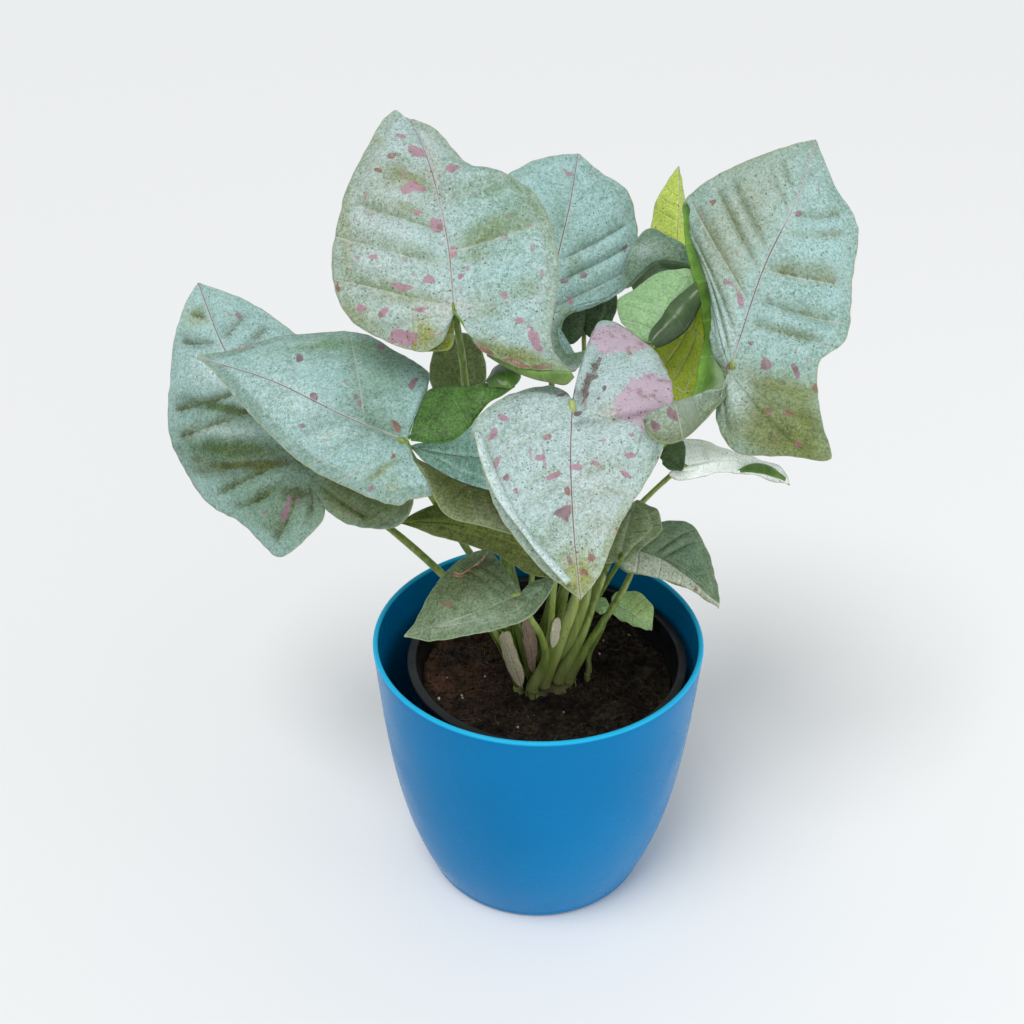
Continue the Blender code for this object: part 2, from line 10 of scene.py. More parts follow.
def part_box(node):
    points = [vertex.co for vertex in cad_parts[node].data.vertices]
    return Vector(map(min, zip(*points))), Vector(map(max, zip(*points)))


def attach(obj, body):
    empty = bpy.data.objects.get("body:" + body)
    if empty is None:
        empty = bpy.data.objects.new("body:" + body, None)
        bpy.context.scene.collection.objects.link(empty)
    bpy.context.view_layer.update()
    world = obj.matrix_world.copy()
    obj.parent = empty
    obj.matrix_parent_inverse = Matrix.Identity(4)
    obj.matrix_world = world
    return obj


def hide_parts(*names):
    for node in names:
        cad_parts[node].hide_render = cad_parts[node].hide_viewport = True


mm = 0.001
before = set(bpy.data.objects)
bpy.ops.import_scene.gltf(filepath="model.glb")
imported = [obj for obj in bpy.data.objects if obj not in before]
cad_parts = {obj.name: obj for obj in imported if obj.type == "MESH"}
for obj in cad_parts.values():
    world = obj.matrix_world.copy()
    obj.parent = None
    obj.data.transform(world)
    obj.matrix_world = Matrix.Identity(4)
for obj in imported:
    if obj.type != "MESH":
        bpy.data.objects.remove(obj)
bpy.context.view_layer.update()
print("frame:", len(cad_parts), "nodes")


# Camera at the photograph's angle, soft lights and a pale floor
view = {"place": (-12.5, -522.4, 525.2), "down": 31.7, "lens": 47.56, "sensor": 36}
lamps = {
    "softSun": {"kind": "SUN", "power": 1.75, "spread": 30, "place": (-500, -700, 1900), "aim": (0, 0, 100)},
    "frontPanel": {"kind": "AREA", "power": 2.4, "size": 900, "place": (700, -1300, 800), "aim": (0, 0, 150)},
    "sidePanel": {"kind": "AREA", "power": 3.6, "size": 500, "place": (1100, -500, 160), "aim": (40, 0, 80)},
}
surround = {"sky": (0.93, 0.97, 1.0), "strength": 0.55, "floorSize": 30000, "floor": (0.84, 0.84, 0.835)}


def addCamera():
    lens = bpy.data.cameras.new("photoCamera")
    lens.lens = view["lens"]
    lens.sensor_width = view["sensor"]
    lens.clip_end = 30
    camera = bpy.data.objects.new("photoCamera", lens)
    camera.location = Vector(view["place"]) * mm
    camera.rotation_euler = (math.radians(90 - view["down"]), 0, 0)
    bpy.context.scene.collection.objects.link(camera)
    bpy.context.scene.camera = camera


def addLamps():
    for name, lamp in lamps.items():
        light = bpy.data.lights.new(name, lamp["kind"])
        light.energy = lamp["power"]
        if lamp["kind"] == "SUN":
            light.angle = math.radians(lamp["spread"])
        else:
            light.size = lamp["size"] * mm
        item = bpy.data.objects.new(name, light)
        item.location = Vector(lamp["place"]) * mm
        aim = Vector(lamp["aim"]) * mm - item.location
        item.rotation_euler = aim.to_track_quat("-Z", "Y").to_euler()
        bpy.context.scene.collection.objects.link(item)
    world = bpy.data.worlds.new("studio")
    world.use_nodes = True
    sky = world.node_tree.nodes["Background"]
    sky.inputs["Color"].default_value = (*surround["sky"], 1)
    sky.inputs["Strength"].default_value = surround["strength"]
    bpy.context.scene.world = world
    bpy.context.scene.view_settings.view_transform = "Standard"


# Small helpers for meshes and node trees
def addMesh(name, places, faces, skins, skinOf=None):
    mesh = bpy.data.meshes.new(name)
    mesh.from_pydata([tuple(p) for p in np.asarray(places) * mm], [], [tuple(f) for f in faces])
    for skin in skins:
        mesh.materials.append(skin)
    mesh.polygons.foreach_set("use_smooth", [True] * len(mesh.polygons))
    if skinOf is not None:
        mesh.polygons.foreach_set("material_index", skinOf)
    item = bpy.data.objects.new(name, mesh)
    bpy.context.scene.collection.objects.link(item)
    return item


def finishPiece(item, slotName, *nodes):
    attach(item, "root")
    if nodes:
        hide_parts(*nodes)


def put(tree, kind, inputs=None, **settings):
    node = tree.nodes.new(kind)
    for key, value in settings.items():
        setattr(node, key, value)
    for key, value in (inputs or {}).items():
        if isinstance(value, bpy.types.NodeSocket):
            tree.links.new(value, node.inputs[key])
        else:
            node.inputs[key].default_value = value
    return node


def newSkin(name, roughness, **extra):
    skin = bpy.data.materials.new(name)
    skin.use_nodes = True
    shader = skin.node_tree.nodes["Principled BSDF"]
    shader.inputs["Roughness"].default_value = roughness
    for socket, value in extra.items():
        shader.inputs[socket.replace("_", " ")].default_value = value
    return skin, skin.node_tree, shader


def objectPlace(tree, stretch=(1, 1, 1), turn=(0, 0, 0)):
    place = put(tree, "ShaderNodeTexCoord").outputs["Object"]
    inputs = {"Vector": place, "Scale": stretch, "Rotation": turn}
    return put(tree, "ShaderNodeMapping", inputs).outputs["Vector"]


def cloud(tree, place, size, detail=3, rough=0.55, bend=0):
    # noise whose lumps are about this many millimetres across
    inputs = {"Vector": place, "Scale": 500 / size, "Detail": detail, "Roughness": rough, "Distortion": bend}
    return put(tree, "ShaderNodeTexNoise", inputs).outputs["Fac"]


def ease(tree, value, low, high, start=0.0, end=1.0):
    inputs = {"Value": value, "From Min": low, "From Max": high, "To Min": start, "To Max": end}
    return put(tree, "ShaderNodeMapRange", inputs, interpolation_type="SMOOTHSTEP").outputs["Result"]


def calc(tree, first, second, how="ADD"):
    node = put(tree, "ShaderNodeMath", operation=how)
    for socket, value in zip(node.inputs, (first, second)):
        if isinstance(value, bpy.types.NodeSocket):
            tree.links.new(value, socket)
        else:
            socket.default_value = value
    return node.outputs[0]


def blend(tree, share, first, second, how="MIX"):
    node = put(tree, "ShaderNodeMix", data_type="RGBA", blend_type=how)
    for socket, value in ((node.inputs[0], share), (node.inputs[6], first), (node.inputs[7], second)):
        if isinstance(value, bpy.types.NodeSocket):
            tree.links.new(value, socket)
        elif isinstance(value, tuple):
            socket.default_value = (*value, 1)
        else:
            socket.default_value = value
    return node.outputs[2]


def attribute(tree, name, output="Fac"):
    return put(tree, "ShaderNodeAttribute", attribute_name=name).outputs[output]


def bump(tree, shader, height, strength, depth):
    inputs = {"Height": height, "Strength": strength, "Distance": depth * mm}
    tree.links.new(put(tree, "ShaderNodeBump", inputs).outputs["Normal"], shader.inputs["Normal"])


# Leaf finishes. The mesh carries the broad tints, painted shade in the folds among them, and the nodes add
# veins, speckles and splash edges.
tints = {
    "mint": (0.36, 0.56, 0.555),
    "silver": (0.46, 0.6, 0.6),
    "greyMint": (0.24, 0.37, 0.32),
    "pale": (0.58, 0.72, 0.72),
    "cream": (0.55, 0.60, 0.48),
    "rose": (0.53, 0.50, 0.46),
    "green": (0.20, 0.33, 0.20),
    "grassGreen": (0.12, 0.25, 0.04),
    "brightGreen": (0.20, 0.38, 0.06),
    "deep": (0.04, 0.085, 0.03),
    "olive": (0.20, 0.25, 0.09),
    "gold": (0.30, 0.33, 0.08),
    "backlit": (0.32, 0.4, 0.02),
    "limeYellow": (0.55, 0.68, 0.11),
    "dull": (0.17, 0.25, 0.14),
    "khaki": (0.145, 0.18, 0.03),
    "loden": (0.072, 0.09, 0.012),
    "moss": (0.062, 0.115, 0.038),
    "seaGreen": (0.13, 0.235, 0.165),
    "ice": (0.6, 0.98, 0.95),
    "fern": (0.065, 0.16, 0.025),
    "fresh": (0.31, 0.52, 0.25),
    "sprout": (0.43, 0.68, 0.27),
    "sage": (0.35, 0.43, 0.34),
    "umber": (0.12, 0.095, 0.06),
    "sageDeep": (0.22, 0.29, 0.14),
    "oliveGrey": (0.19, 0.23, 0.11),
    "husk": (0.55, 0.49, 0.33),
    "huskRose": (0.44, 0.3, 0.23),
    "white": (0.92, 0.98, 0.94),
    "night": (0.015, 0.035, 0.010),
    "dry": (0.42, 0.36, 0.24),
}
splashTints = {
    "pink": (0.38, 0.19, 0.25), "mauve": (0.22, 0.12, 0.155), "rust": (0.22, 0.085, 0.045),
    "blush": (0.54, 0.40, 0.50), "bark": (0.10, 0.075, 0.05),
}
leafFinish = {
    "speckles": (0.05, 0.085, 0.045),
    "midribLine": (0.11, 0.10, 0.08),
    "midribGlow": (0.60, 0.55, 0.54),
    "veinGlow": (0.50, 0.49, 0.42),
    "edge": (0.42, 0.44, 0.24),
    "fleck": (0.33, 0.20, 0.22),
    "greenMix": (0.58, 0.64, 0.54),
    "splashCore": (0.62, 0.52, 0.46),
    "splashLight": (0.50, 0.36, 0.41),
}


def dots(tree, place, size, share, density):
    # round specks: a Voronoi cell holds one where its random number is below the density
    cells = put(tree, "ShaderNodeTexVoronoi", {"Vector": place, "Scale": 1000 / size, "Randomness": 1.0})
    chance = put(tree, "ShaderNodeSeparateColor", {"Color": cells.outputs["Color"]}).outputs["Red"]
    near = ease(tree, cells.outputs["Distance"], share, share * 0.45)
    return calc(tree, near, calc(tree, chance, density, "LESS_THAN"), "MULTIPLY")


def greyScale(tree, value):
    return put(tree, "ShaderNodeCombineColor", {"Red": value, "Green": value, "Blue": value}).outputs[0]


def offCentre(tree, value, middle=0.0):
    away = calc(tree, value, middle, "SUBTRACT")
    return put(tree, "ShaderNodeMath", {0: away}, operation="ABSOLUTE").outputs[0]


def offTheVein(tree, phase):
    whole = put(tree, "ShaderNodeMath", {0: calc(tree, phase, 0.5)}, operation="FRACT").outputs[0]
    return offCentre(tree, whole, 0.5)


def leafTop():
    skin, tree, shader = newSkin("leafTop", 0.5, Specular_IOR_Level=0.36)
    place = objectPlace(tree)
    lines = put(tree, "ShaderNodeSeparateXYZ", {"Vector": attribute(tree, "veinLines", "Vector")})
    side, phase, count = lines.outputs
    fromRib = attribute(tree, "fromRib")
    fromEdge = attribute(tree, "fromEdge")
    offVein = offTheVein(tree, phase)
    tint = attribute(tree, "tint", "Color")
    # a fine grain of green under a pale bloom, a little thicker in drifts
    grain = cloud(tree, place, 0.75, 4, 0.85)
    drift = cloud(tree, place, 15, 3, 0.55)
    bright = put(tree, "ShaderNodeRGBToBW", {"Color": tint}).outputs[0]
    paleLeaf = ease(tree, bright, 0.16, 0.36)
    green = ease(tree, calc(tree, grain, calc(tree, drift, 0.3, "MULTIPLY")), 0.60, 0.76, 0.0, 0.9)
    green = calc(tree, green, attribute(tree, "grain"), "MULTIPLY")
    colour = blend(tree, green, tint, blend(tree, 1.0, tint, leafFinish["greenMix"], "MULTIPLY"))
    fine = cloud(tree, place, 0.5, 3, 0.7)
    swing = ease(tree, fine, 0.3, 0.7, -1.0, 1.0)
    swing = calc(tree, swing, ease(tree, bright, 0.08, 0.34, 0.42, 0.20), "MULTIPLY")
    mottle = ease(tree, cloud(tree, place, 2.8, 4, 0.7), 0.32, 0.68, -1.0, 1.0)
    mottle = calc(tree, mottle, ease(tree, bright, 0.08, 0.34, 0.30, 0.04), "MULTIPLY")
    shade = calc(tree, 1.0, calc(tree, swing, mottle))
    colour = blend(tree, 1.0, colour, greyScale(tree, shade), "MULTIPLY")
    frost = ease(tree, cloud(tree, place, 2.2, 5, 0.8), 0.50, 0.66, 0.0, 0.5)
    frost = calc(tree, frost, ease(tree, bright, 0.10, 0.45), "MULTIPLY")
    colour = blend(tree, calc(tree, frost, attribute(tree, "frost"), "MULTIPLY"), colour, tints["pale"])
    # splashes, with torn edges, a lighter bloom inside and darker cores
    torn = calc(tree, calc(tree, cloud(tree, place, 2.6, 4, 0.75), 0.5, "SUBTRACT"), 1.5, "MULTIPLY")
    splashMask = ease(tree, calc(tree, attribute(tree, "splash"), torn), 0.46, 0.60)
    bloom = ease(tree, grain, 0.42, 0.62, 0.0, 0.45)
    inside = blend(tree, bloom, attribute(tree, "splashTint", "Color"), leafFinish["splashLight"])
    core = blend(tree, 1.0, inside, leafFinish["splashCore"], "MULTIPLY")
    inside = blend(tree, ease(tree, cloud(tree, place, 3.0, 4, 0.7), 0.50, 0.66), inside, core)
    colour = blend(tree, calc(tree, splashMask, 0.9, "MULTIPLY"), colour, inside)
    # small flecks drawn out along the side veins
    across, along = calc(tree, side, 13.0, "MULTIPLY"), calc(tree, phase, 5.0, "MULTIPLY")
    fleckPlace = put(tree, "ShaderNodeCombineXYZ", {"X": across, "Y": along, "Z": count}).outputs[0]
    flecks = dots(tree, fleckPlace, 1000, 0.40, calc(tree, attribute(tree, "flecks"), 0.18, "MULTIPLY"))
    colour = blend(tree, calc(tree, flecks, 0.6, "MULTIPLY"), colour, leafFinish["fleck"])
    # side veins, the line that joins them near the edge, and the midrib: warm on pale leaves, else light
    veinTint = blend(tree, 1.0, tint, greyScale(tree, ease(tree, bright, 0.06, 0.3, 1.9, 1.4)), "MULTIPLY")
    veinTint = blend(tree, paleLeaf, veinTint, leafFinish["veinGlow"])
    patchy = ease(tree, cloud(tree, place, 11, 3), 0.36, 0.60, 0.25, 0.95)
    veinMask = calc(tree, ease(tree, offVein, 0.030, 0.008), patchy, "MULTIPLY")
    joinMask = ease(tree, offCentre(tree, fromEdge, leafMesh["joinLine"]), 0.40, 0.12, 0.0, 0.55)
    joinMask = calc(tree, joinMask, patchy, "MULTIPLY")
    veinShow = calc(tree, attribute(tree, "veinShow"), attribute(tree, "veinRoom"), "MULTIPLY")
    veins = calc(tree, calc(tree, veinMask, joinMask, "MAXIMUM"), veinShow, "MULTIPLY")
    colour = blend(tree, veins, colour, veinTint)
    ribTint = blend(tree, paleLeaf, veinTint, leafFinish["midribGlow"])
    ribShow = ease(tree, attribute(tree, "veinShow"), 0.1, 0.4)
    ribGlow = calc(tree, ease(tree, fromRib, 1.25, 0.35, 0.0, 0.5), ribShow, "MULTIPLY")
    colour = blend(tree, ribGlow, colour, ribTint)
    broken = ease(tree, cloud(tree, place, 18, 2), 0.36, 0.52, 0.3, 1.0)
    ribLine = calc(tree, ease(tree, fromRib, 0.42, 0.14), broken, "MULTIPLY")
    ribLine = calc(tree, ribLine, ribShow, "MULTIPLY")
    colour = blend(tree, calc(tree, ribLine, paleLeaf, "MULTIPLY"), colour, leafFinish["midribLine"])
    # dark green specks in three sizes, gathered in drifts, a little ragged
    shake = put(tree, "ShaderNodeTexNoise", {"Vector": place, "Scale": 900.0}).outputs["Color"]
    shake = put(tree, "ShaderNodeVectorMath", {0: shake, "Scale": 0.0011}, operation="SCALE").outputs[0]
    ragged = put(tree, "ShaderNodeVectorMath", {0: place, 1: shake}, operation="ADD").outputs[0]
    gathered = ease(tree, cloud(tree, place, 8, 4, 0.7), 0.34, 0.66, 0.25, 1.0)
    amount = calc(tree, gathered, attribute(tree, "speckle"), "MULTIPLY")
    for size, reach, density, strength in leafSpecks:
        specks = dots(tree, ragged, size, reach, calc(tree, amount, density, "MULTIPLY"))
        colour = blend(tree, calc(tree, specks, strength, "MULTIPLY"), colour, leafFinish["speckles"])
    edgeTint = blend(tree, paleLeaf, veinTint, leafFinish["edge"])
    colour = blend(tree, ease(tree, fromEdge, 0.8, 0.1, 0.0, 0.7), colour, edgeTint)
    tree.links.new(colour, shader.inputs["Base Color"])
    veinRelief = calc(tree, ease(tree, offVein, 0.09, 0.0, 0.0, 1.5), veinShow, "MULTIPLY")
    relief = calc(tree, calc(tree, fine, grain), veinRelief, "SUBTRACT")
    bump(tree, shader, relief, 0.65, 0.32)
    rough = ease(tree, cloud(tree, place, 6, 3), 0.3, 0.7, 0.42, 0.62)
    rough = calc(tree, rough, calc(tree, attribute(tree, "gloss"), 0.28, "MULTIPLY"), "SUBTRACT")
    tree.links.new(rough, shader.inputs["Roughness"])
    return skin


# size of the cell, reach of the speck in it, how many cells hold one, and how dark it is
leafSpecks = [(2.1, 0.26, 0.36, 0.85), (1.25, 0.30, 0.50, 0.8), (0.75, 0.34, 0.50, 0.6)]


def leafUnder():
    skin, tree, shader = newSkin("leafUnder", 0.42, Specular_IOR_Level=0.4)
    place = objectPlace(tree)
    lines = put(tree, "ShaderNodeSeparateXYZ", {"Vector": attribute(tree, "veinLines", "Vector")})
    offVein = offTheVein(tree, lines.outputs["Y"])
    shade = ease(tree, cloud(tree, place, 4, 6, 0.7), 0.3, 0.7, 0.66, 1.3)
    tint = attribute(tree, "tint", "Color")
    colour = blend(tree, 1.0, tint, greyScale(tree, shade), "MULTIPLY")
    lighter = blend(tree, 1.0, tint, (1.7, 1.6, 1.5), "MULTIPLY")
    colour = blend(tree, ease(tree, offVein, 0.035, 0.008, 0.0, 0.5), colour, lighter)
    colour = blend(tree, ease(tree, attribute(tree, "fromRib"), 1.5, 0.6, 0.0, 0.75), colour, lighter)
    specks = dots(tree, place, 1.2, 0.32, calc(tree, attribute(tree, "speckle"), 0.3, "MULTIPLY"))
    colour = blend(tree, calc(tree, specks, 0.5, "MULTIPLY"), colour, leafFinish["speckles"])
    tree.links.new(colour, shader.inputs["Base Color"])
    rough = calc(tree, 0.46, calc(tree, attribute(tree, "gloss"), 0.28, "MULTIPLY"), "SUBTRACT")
    tree.links.new(rough, shader.inputs["Roughness"])
    bump(tree, shader, calc(tree, cloud(tree, place, 0.8, 3), ease(tree, offVein, 0.08, 0.0)), 0.3, 0.2)
    return skin


# Leaf shapes. Base, facing (degrees turned right, degrees above level), turn of the tip, and outline points
# (across, along, lift) from the tip round each side and its lobe to the stalk. Splashes and patches are
# (across, along, half length, half width, lean, strength) on the flat of the blade. An entry leaves out
# what it shares with usualLeaf, and a sheath also what it shares with usualSheath.
usualLeaf = {
    "detail": "middle", "puff": 0.07, "veins": 9, "quilt": 0.4, "buckle": 1.2, "wave": 0.6, "waves": 4,
    "under": "grassGreen", "shade": 0.4, "strip": 0.1,
    "flecks": 0.1, "frost": 0, "veinShow": 0.6, "gloss": 0, "grain": 1,
    "splashes": {}, "patches": {}, "creases": [], "flaps": [],
}
leaves = {
    "top_left": {
        "base": (-36, -12, 305.5), "faces": (-6, 42), "turn": -17, "tip": (0, 92, -9),
        "rib": [(4, 63, 0), (4, 30, 2)],
        "left": [
            (-3, 94, -9), (-5, 97, -9), (-9, 95, -8), (-17, 86, -4), (-34, 60, 0), (-45, 34, -2),
            (-44, 12, -3), (-32, -2, -4), (-18, -12, -3), (-8, -11, 1),
        ],
        "right": [
            (3, 90, -9), (10, 83, -7), (16, 70, -4), (20, 62, -2), (29, 57, -1), (36, 51, -1),
            (44, 41, -1), (47, 28, -2), (46, 12, -4), (41, -4, -4), (36, -17, -4), (36, -26, -3),
            (40, -36, -1), (33, -34, 1), (21, -30, 3), (12, -24, 4), (6, -18, 4), (4, -9, 3), (2, -4, 2),
        ],
        "detail": "large", "veins": 8, "quilt": 2.6, "buckle": 1.6, "wave": 0.8,
        "top": "silver", "deep": "sageDeep", "shade": 0.85, "strip": 0.4,
        "speckle": 1, "flecks": 1, "frost": 0.8, "veinShow": 0.7,
        "splashes": {
            "pink": [
                (0, 72, 4.1, 2.4, -35, 1), (-5, 55, 5, 2.6, -10, 1), (-5, 44, 3.2, 1.2, -15, 1),
                (1, 37, 3.5, 2.5, -45, 1), (5, 24, 2.6, 2.2, 85, 1), (6, 13, 1.3, 1.2, 80, 1),
                (-27, 30, 2.5, 1.4, -20, 1), (-18, 15, 5.2, 1.3, -25, 1), (-7, 15, 1.9, 1, -20, 1),
                (-36, 11, 2.1, 1.5, -30, 1), (-28, 7, 2.9, 1.4, 0, 1), (-13, 4, 2.3, 0.9, -15, 1),
                (-23, -5, 6.2, 3, -20, 1), (13, 61, 3, 1.6, 0, 1), (21, 2, 2.1, 0.8, -25, 1),
                (25, -10, 2.5, 1.8, -10, 1), (29, -20, 6.6, 2.5, -80, 1), (-5, 82, 2.6, 1.1, -35, 0.9),
            ],
            "rust": [
                (8, -20, 6, 1.6, -42, 1), (21, -29, 7, 1.2, -30, 0.9), (30, -32, 4.5, 1, -20, 0.9),
                (-11, 73, 1.9, 1.4, -55, 1), (-18, 67, 2, 1, -50, 1), (-45, 24, 4.1, 1.2, 80, 1),
            ],
        },
        "patches": {
            "mint": [(25, 25, 40, 17, 80, 0.8)],
            "olive": [
                (21, -26, 18, 3.5, -31, 0.9), (-7, 61, 11.4, 4.8, -35, 0.9),
                (-9, 47, 5.9, 1.9, -25, 0.6), (14, 20, 5.5, 2.4, 5, 0.6), (-15, 83, 3.5, 2.2, -30, 0.5),
                (-19, 10, 11.6, 1.9, -20, 0.55), (23, -30, 17, 3.4, -22, 0.9), (8, -19, 7, 2, -40, 0.8),
            ],
            "green": [
                (22, 30, 15.8, 3.6, 20, 0.7), (27, 46, 6, 3.9, 0, 0.7), (13, -4, 6.3, 3, -10, 0.6),
                (40, 40, 14, 4, -62, 0.6),
            ],
            "gold": [
                (-39, 9, 8.9, 4.3, -45, 0.5), (-37, 42, 21.2, 2.4, 80, 0.5), (-14, -6, 5.4, 5.1, 80, 1),
            ],
            "rose": [
                (-25, 50, 34, 15, 78, 0.25), (5, 67, 15.1, 2.6, -90, 0.5), (-1, 1, 12.1, 4.1, -15, 0.45),
            ],
        },
        "flaps": [
            {
                "inner": [
                    (9, -20, 0), (15, -25, 0), (21, -29, 0), (27, -32, 0), (33, -34, 0), (40, -36, 0),
                ],
                "outer": [
                    (9, -21, -1), (15, -27, -2), (20, -31, -3), (26, -35, -3), (32, -38, -3),
                    (37, -40, -3), (41, -38, -2),
                ],
                "bulge": 1.2, "face": "under", "tint": "grassGreen", "edgeTint": "olive",
                "behind": "grassGreen", "veins": 3,
            },
            # painted light: the gold tint and backlit edge stand for light shining through this fold
            {
                "inner": [
                    (-4, 0, -1), (-7, -1, -1), (-12, -3, -1), (-16, -5, -1), (-18, -7, -1),
                    (-20, -11, -1),
                ],
                "outer": [
                    (-1, -2, -3), (-2, -6, -5), (-3, -10, -6), (-6, -13, -6), (-11, -13, -4),
                    (-16, -12, -3),
                ],
                "bulge": -1, "face": "top", "tint": "gold", "edgeTint": "backlit", "behind": "gold",
                "veins": 3,
            },
        ],
    },
    "top_back": {
        "base": (4.5, 58, 275.5), "faces": (10, 22), "turn": 15, "tip": (0, 73, -4),
        "rib": [(0, 49, 0), (-1, 23, 1)],
        "left": [
            (-15, 68, -3), (-31, 56, -2), (-38, 37, -3), (-34, 17, -3), (-21, -1, -2), (3, -18, 0),
            (15, -25, 2), (18, -20, 3), (9, -14, 1),
        ],
        "right": [(12, 67, -3), (27, 60, -3), (36, 41, -4), (37, 23, -3), (28, 12, 0), (14, 3, 1)],
        "detail": "large", "quilt": 2.2, "wave": 0.7,
        "top": "mint", "deep": "greyMint", "under": "deep", "shade": 0.8, "strip": 0.35,
        "speckle": 0.7, "flecks": 0.2, "frost": 0.6,
        "splashes": {
            "mauve": [(4, 15, 1.8, 1.2, 15, 1), (12, 19, 2.9, 1, 35, 1), (30, 36, 2.5, 0.9, 65, 1)],
            "pink": [(-3, 64, 3.1, 1.1, -20, 0.9), (2, -2, 1.5, 0.8, 90, 1), (9, 7, 1.8, 1.5, 10, 0.9)],
        },
        "patches": {"green": [(-4, 44, 8.1, 3.8, -80, 0.4)], "olive": [(7, 23, 3.7, 3.4, -80, 0.4)]},
        "flaps": [
            {
                "inner": [
                    (27, -6, 6), (24, -9, 5), (21, -13, 4), (16, -16, 3), (11, -16, 3), (8, -12, 2),
                    (7, -7, 1), (8, -1, 1), (14, 4, 0),
                ],
                "outer": [
                    (28, -9, 6), (25, -13, 5), (21, -19, 4), (15, -25, 3), (9, -24, 3), (4, -18, 2),
                    (2, -10, 1), (2, -4, 1), (3, 4, 0),
                ],
                "bulge": 2, "face": "top", "tint": "green", "edgeTint": "pale", "behind": "grassGreen",
                "veins": 6,
            },
        ],
    },
    "top_right": {
        "base": (81.5, 8, 269.5), "faces": (-14, 38), "turn": 12, "tip": (0, 112, -8),
        "rib": [(2, 81, 0), (-1, 46, 2)],
        "left": [
            (-16, 100, -3), (-33, 84, -2), (-45, 68, -4), (-40, 57, -5), (-24, 38, -5), (-17, 24, -5),
            (-15, 18, -4), (-13, 11, -4), (-9, 5, -3), (-4, 1, -2), (1, -4, 0),
        ],
        "right": [
            (14, 95, -6), (30, 80, -8), (36, 56, -8), (42, 31, -7), (35, 16, -4), (41, -2, -2),
            (49, -15, 1), (53.5, -23, 2), (47, -25.5, 2), (35, -28, 3), (15, -33, 2), (2, -22, 1),
            (0, -10, 1),
        ],
        "detail": "large", "veins": 13, "quilt": 2.8, "wave": 0.8,
        "top": "mint", "deep": "oliveGrey", "under": "brightGreen", "shade": 0.9, "strip": 0.2,
        "speckle": 0.7, "flecks": 0.35, "frost": 0.55, "veinShow": 0.8,
        "splashes": {
            "pink": [(-6, 31, 4.4, 1.7, -45, 1), (0, 2, 1.5, 1.5, -80, 1)],
            "rust": [
                (-32, 69, 2.1, 1.3, 55, 1), (31, -11, 2.1, 1.4, 5, 0.9), (38, -22, 2.1, 1.3, 20, 1),
                (37, 5, 1.9, 1.2, -65, 1), (22, -13, 1.1, 0.9, 30, 1),
            ],
            "mauve": [
                (5, 75, 1.8, 1.3, 30, 0.9), (14, 7, 2.4, 2.2, 0, 1), (27, 8, 3.4, 0.9, -45, 1),
                (-14, 36, 1.8, 0.8, -25, 0.9), (5, 14, 1.4, 0.9, 5, 1),
            ],
        },
        "patches": {
            "gold": [(35, -24, 17, 3.2, 0, 0.95), (32, 1, 8.8, 4.2, 20, 0.5)],
            "olive": [
                (8, -29, 4.9, 2.6, 0, 0.8), (9, 51, 9.8, 1.3, 20, 0.35), (-24, 93, 17.5, 2.2, 45, 0.55),
                (20, -16, 24, 10, -28, 0.85), (33, -21, 17, 7, 5, 1), (38, -10, 11, 6, -35, 0.9),
                # painted shade: this olive band lies above the lower lobe's vein, on the side of the fold
                # that faces down
                (18, -1, 15, 3, 8, 0.85),
            ],
            # painted shade: the sage patch darkens the left half, which is turned from the light
            "sage": [(-20, 60, 44, 17, 80, 0.85)],
            "khaki": [
                # painted shade: the first khaki band also lies above the lower lobe's vein
                (19, -3, 17, 4.5, 6, 0.5), (24, -15, 26, 12, -12, 0.55), (36, -23, 16, 5, -5, 0.35),
            ],
            "pale": [(-6, 17, 10.9, 4.3, -70, 0.5), (7, -10, 9, 5, -75, 0.6)],
        },
        "flaps": [
            {
                "inner": [
                    (-43, 66, -3), (-34, 55, -6), (-26, 45, -8), (-19, 34, -9), (-14, 25, -9),
                    (-12, 14, -8), (-9, 7, -6), (-1, -1, -4), (1, -9, -3),
                ],
                "outer": [
                    (-45, 66, -3), (-39, 51, -7), (-33, 41, -10), (-25, 29, -12), (-20, 20, -12),
                    (-16, 12, -11), (-15, 3, -9), (-13, -7, -8), (-12, -14, -6),
                ],
                "bulge": 1, "face": "under", "tint": "fern", "edgeTint": "brightGreen", "behind": "mint",
                "veins": 5,
                "finish": {"gloss": 0.5},
            },
            {
                "inner": [
                    (1, -6, 3), (0, -9, 4), (-5, -12, 6), (-10, -17, 9), (-12, -29, 47), (-18, -36, 50),
                    (-20, -40, 52),
                ],
                "outer": [
                    (3, -10, 3), (2, -15, 4), (0, -20, 6), (-2, -27, 10), (-1, -42, 55), (-7, -47, 58),
                    (-14, -46, 56), (-19, -41, 52),
                ],
                "bulge": -3, "face": "top", "tint": "sage", "edgeTint": "oliveGrey",
                "behind": "grassGreen", "veins": 4,
                "finish": {"frost": 0.3},
                "splashes": {"mauve": [(-10, -34, 4, 2, -40, 0.9), (-14, -41, 3, 2, -40, 0.9)]},
            },
        ],
    },
    "far_left": {
        "base": (-107, 18, 216), "faces": (-22, 34), "turn": -47, "tip": (0, 112, -7),
        "rib": [(-4, 71, 0), (-3, 30, 1)],
        "left": [
            (-15, 102, -4), (-35, 84, -4), (-53, 56, -5), (-54, 22, -4), (-42, -3, -1), (-34, -27, 3),
            (-18, -29, 4), (-2, -23, 4),
        ],
        "right": [
            (16, 88, -4), (28, 59, -4), (36, 25, -3), (37, -7, -2), (37, -39, 0), (23, -50, 2),
            (4, -36, 4), (-3, -18, 3),
        ],
        "detail": "large", "quilt": 2.6, "buckle": 1.6, "wave": 1,
        "top": "mint", "deep": "loden", "shade": 1,
        "speckle": 0.6, "flecks": 0.15, "frost": 0.5, "veinShow": 0.5,
        "splashes": {
            "mauve": [
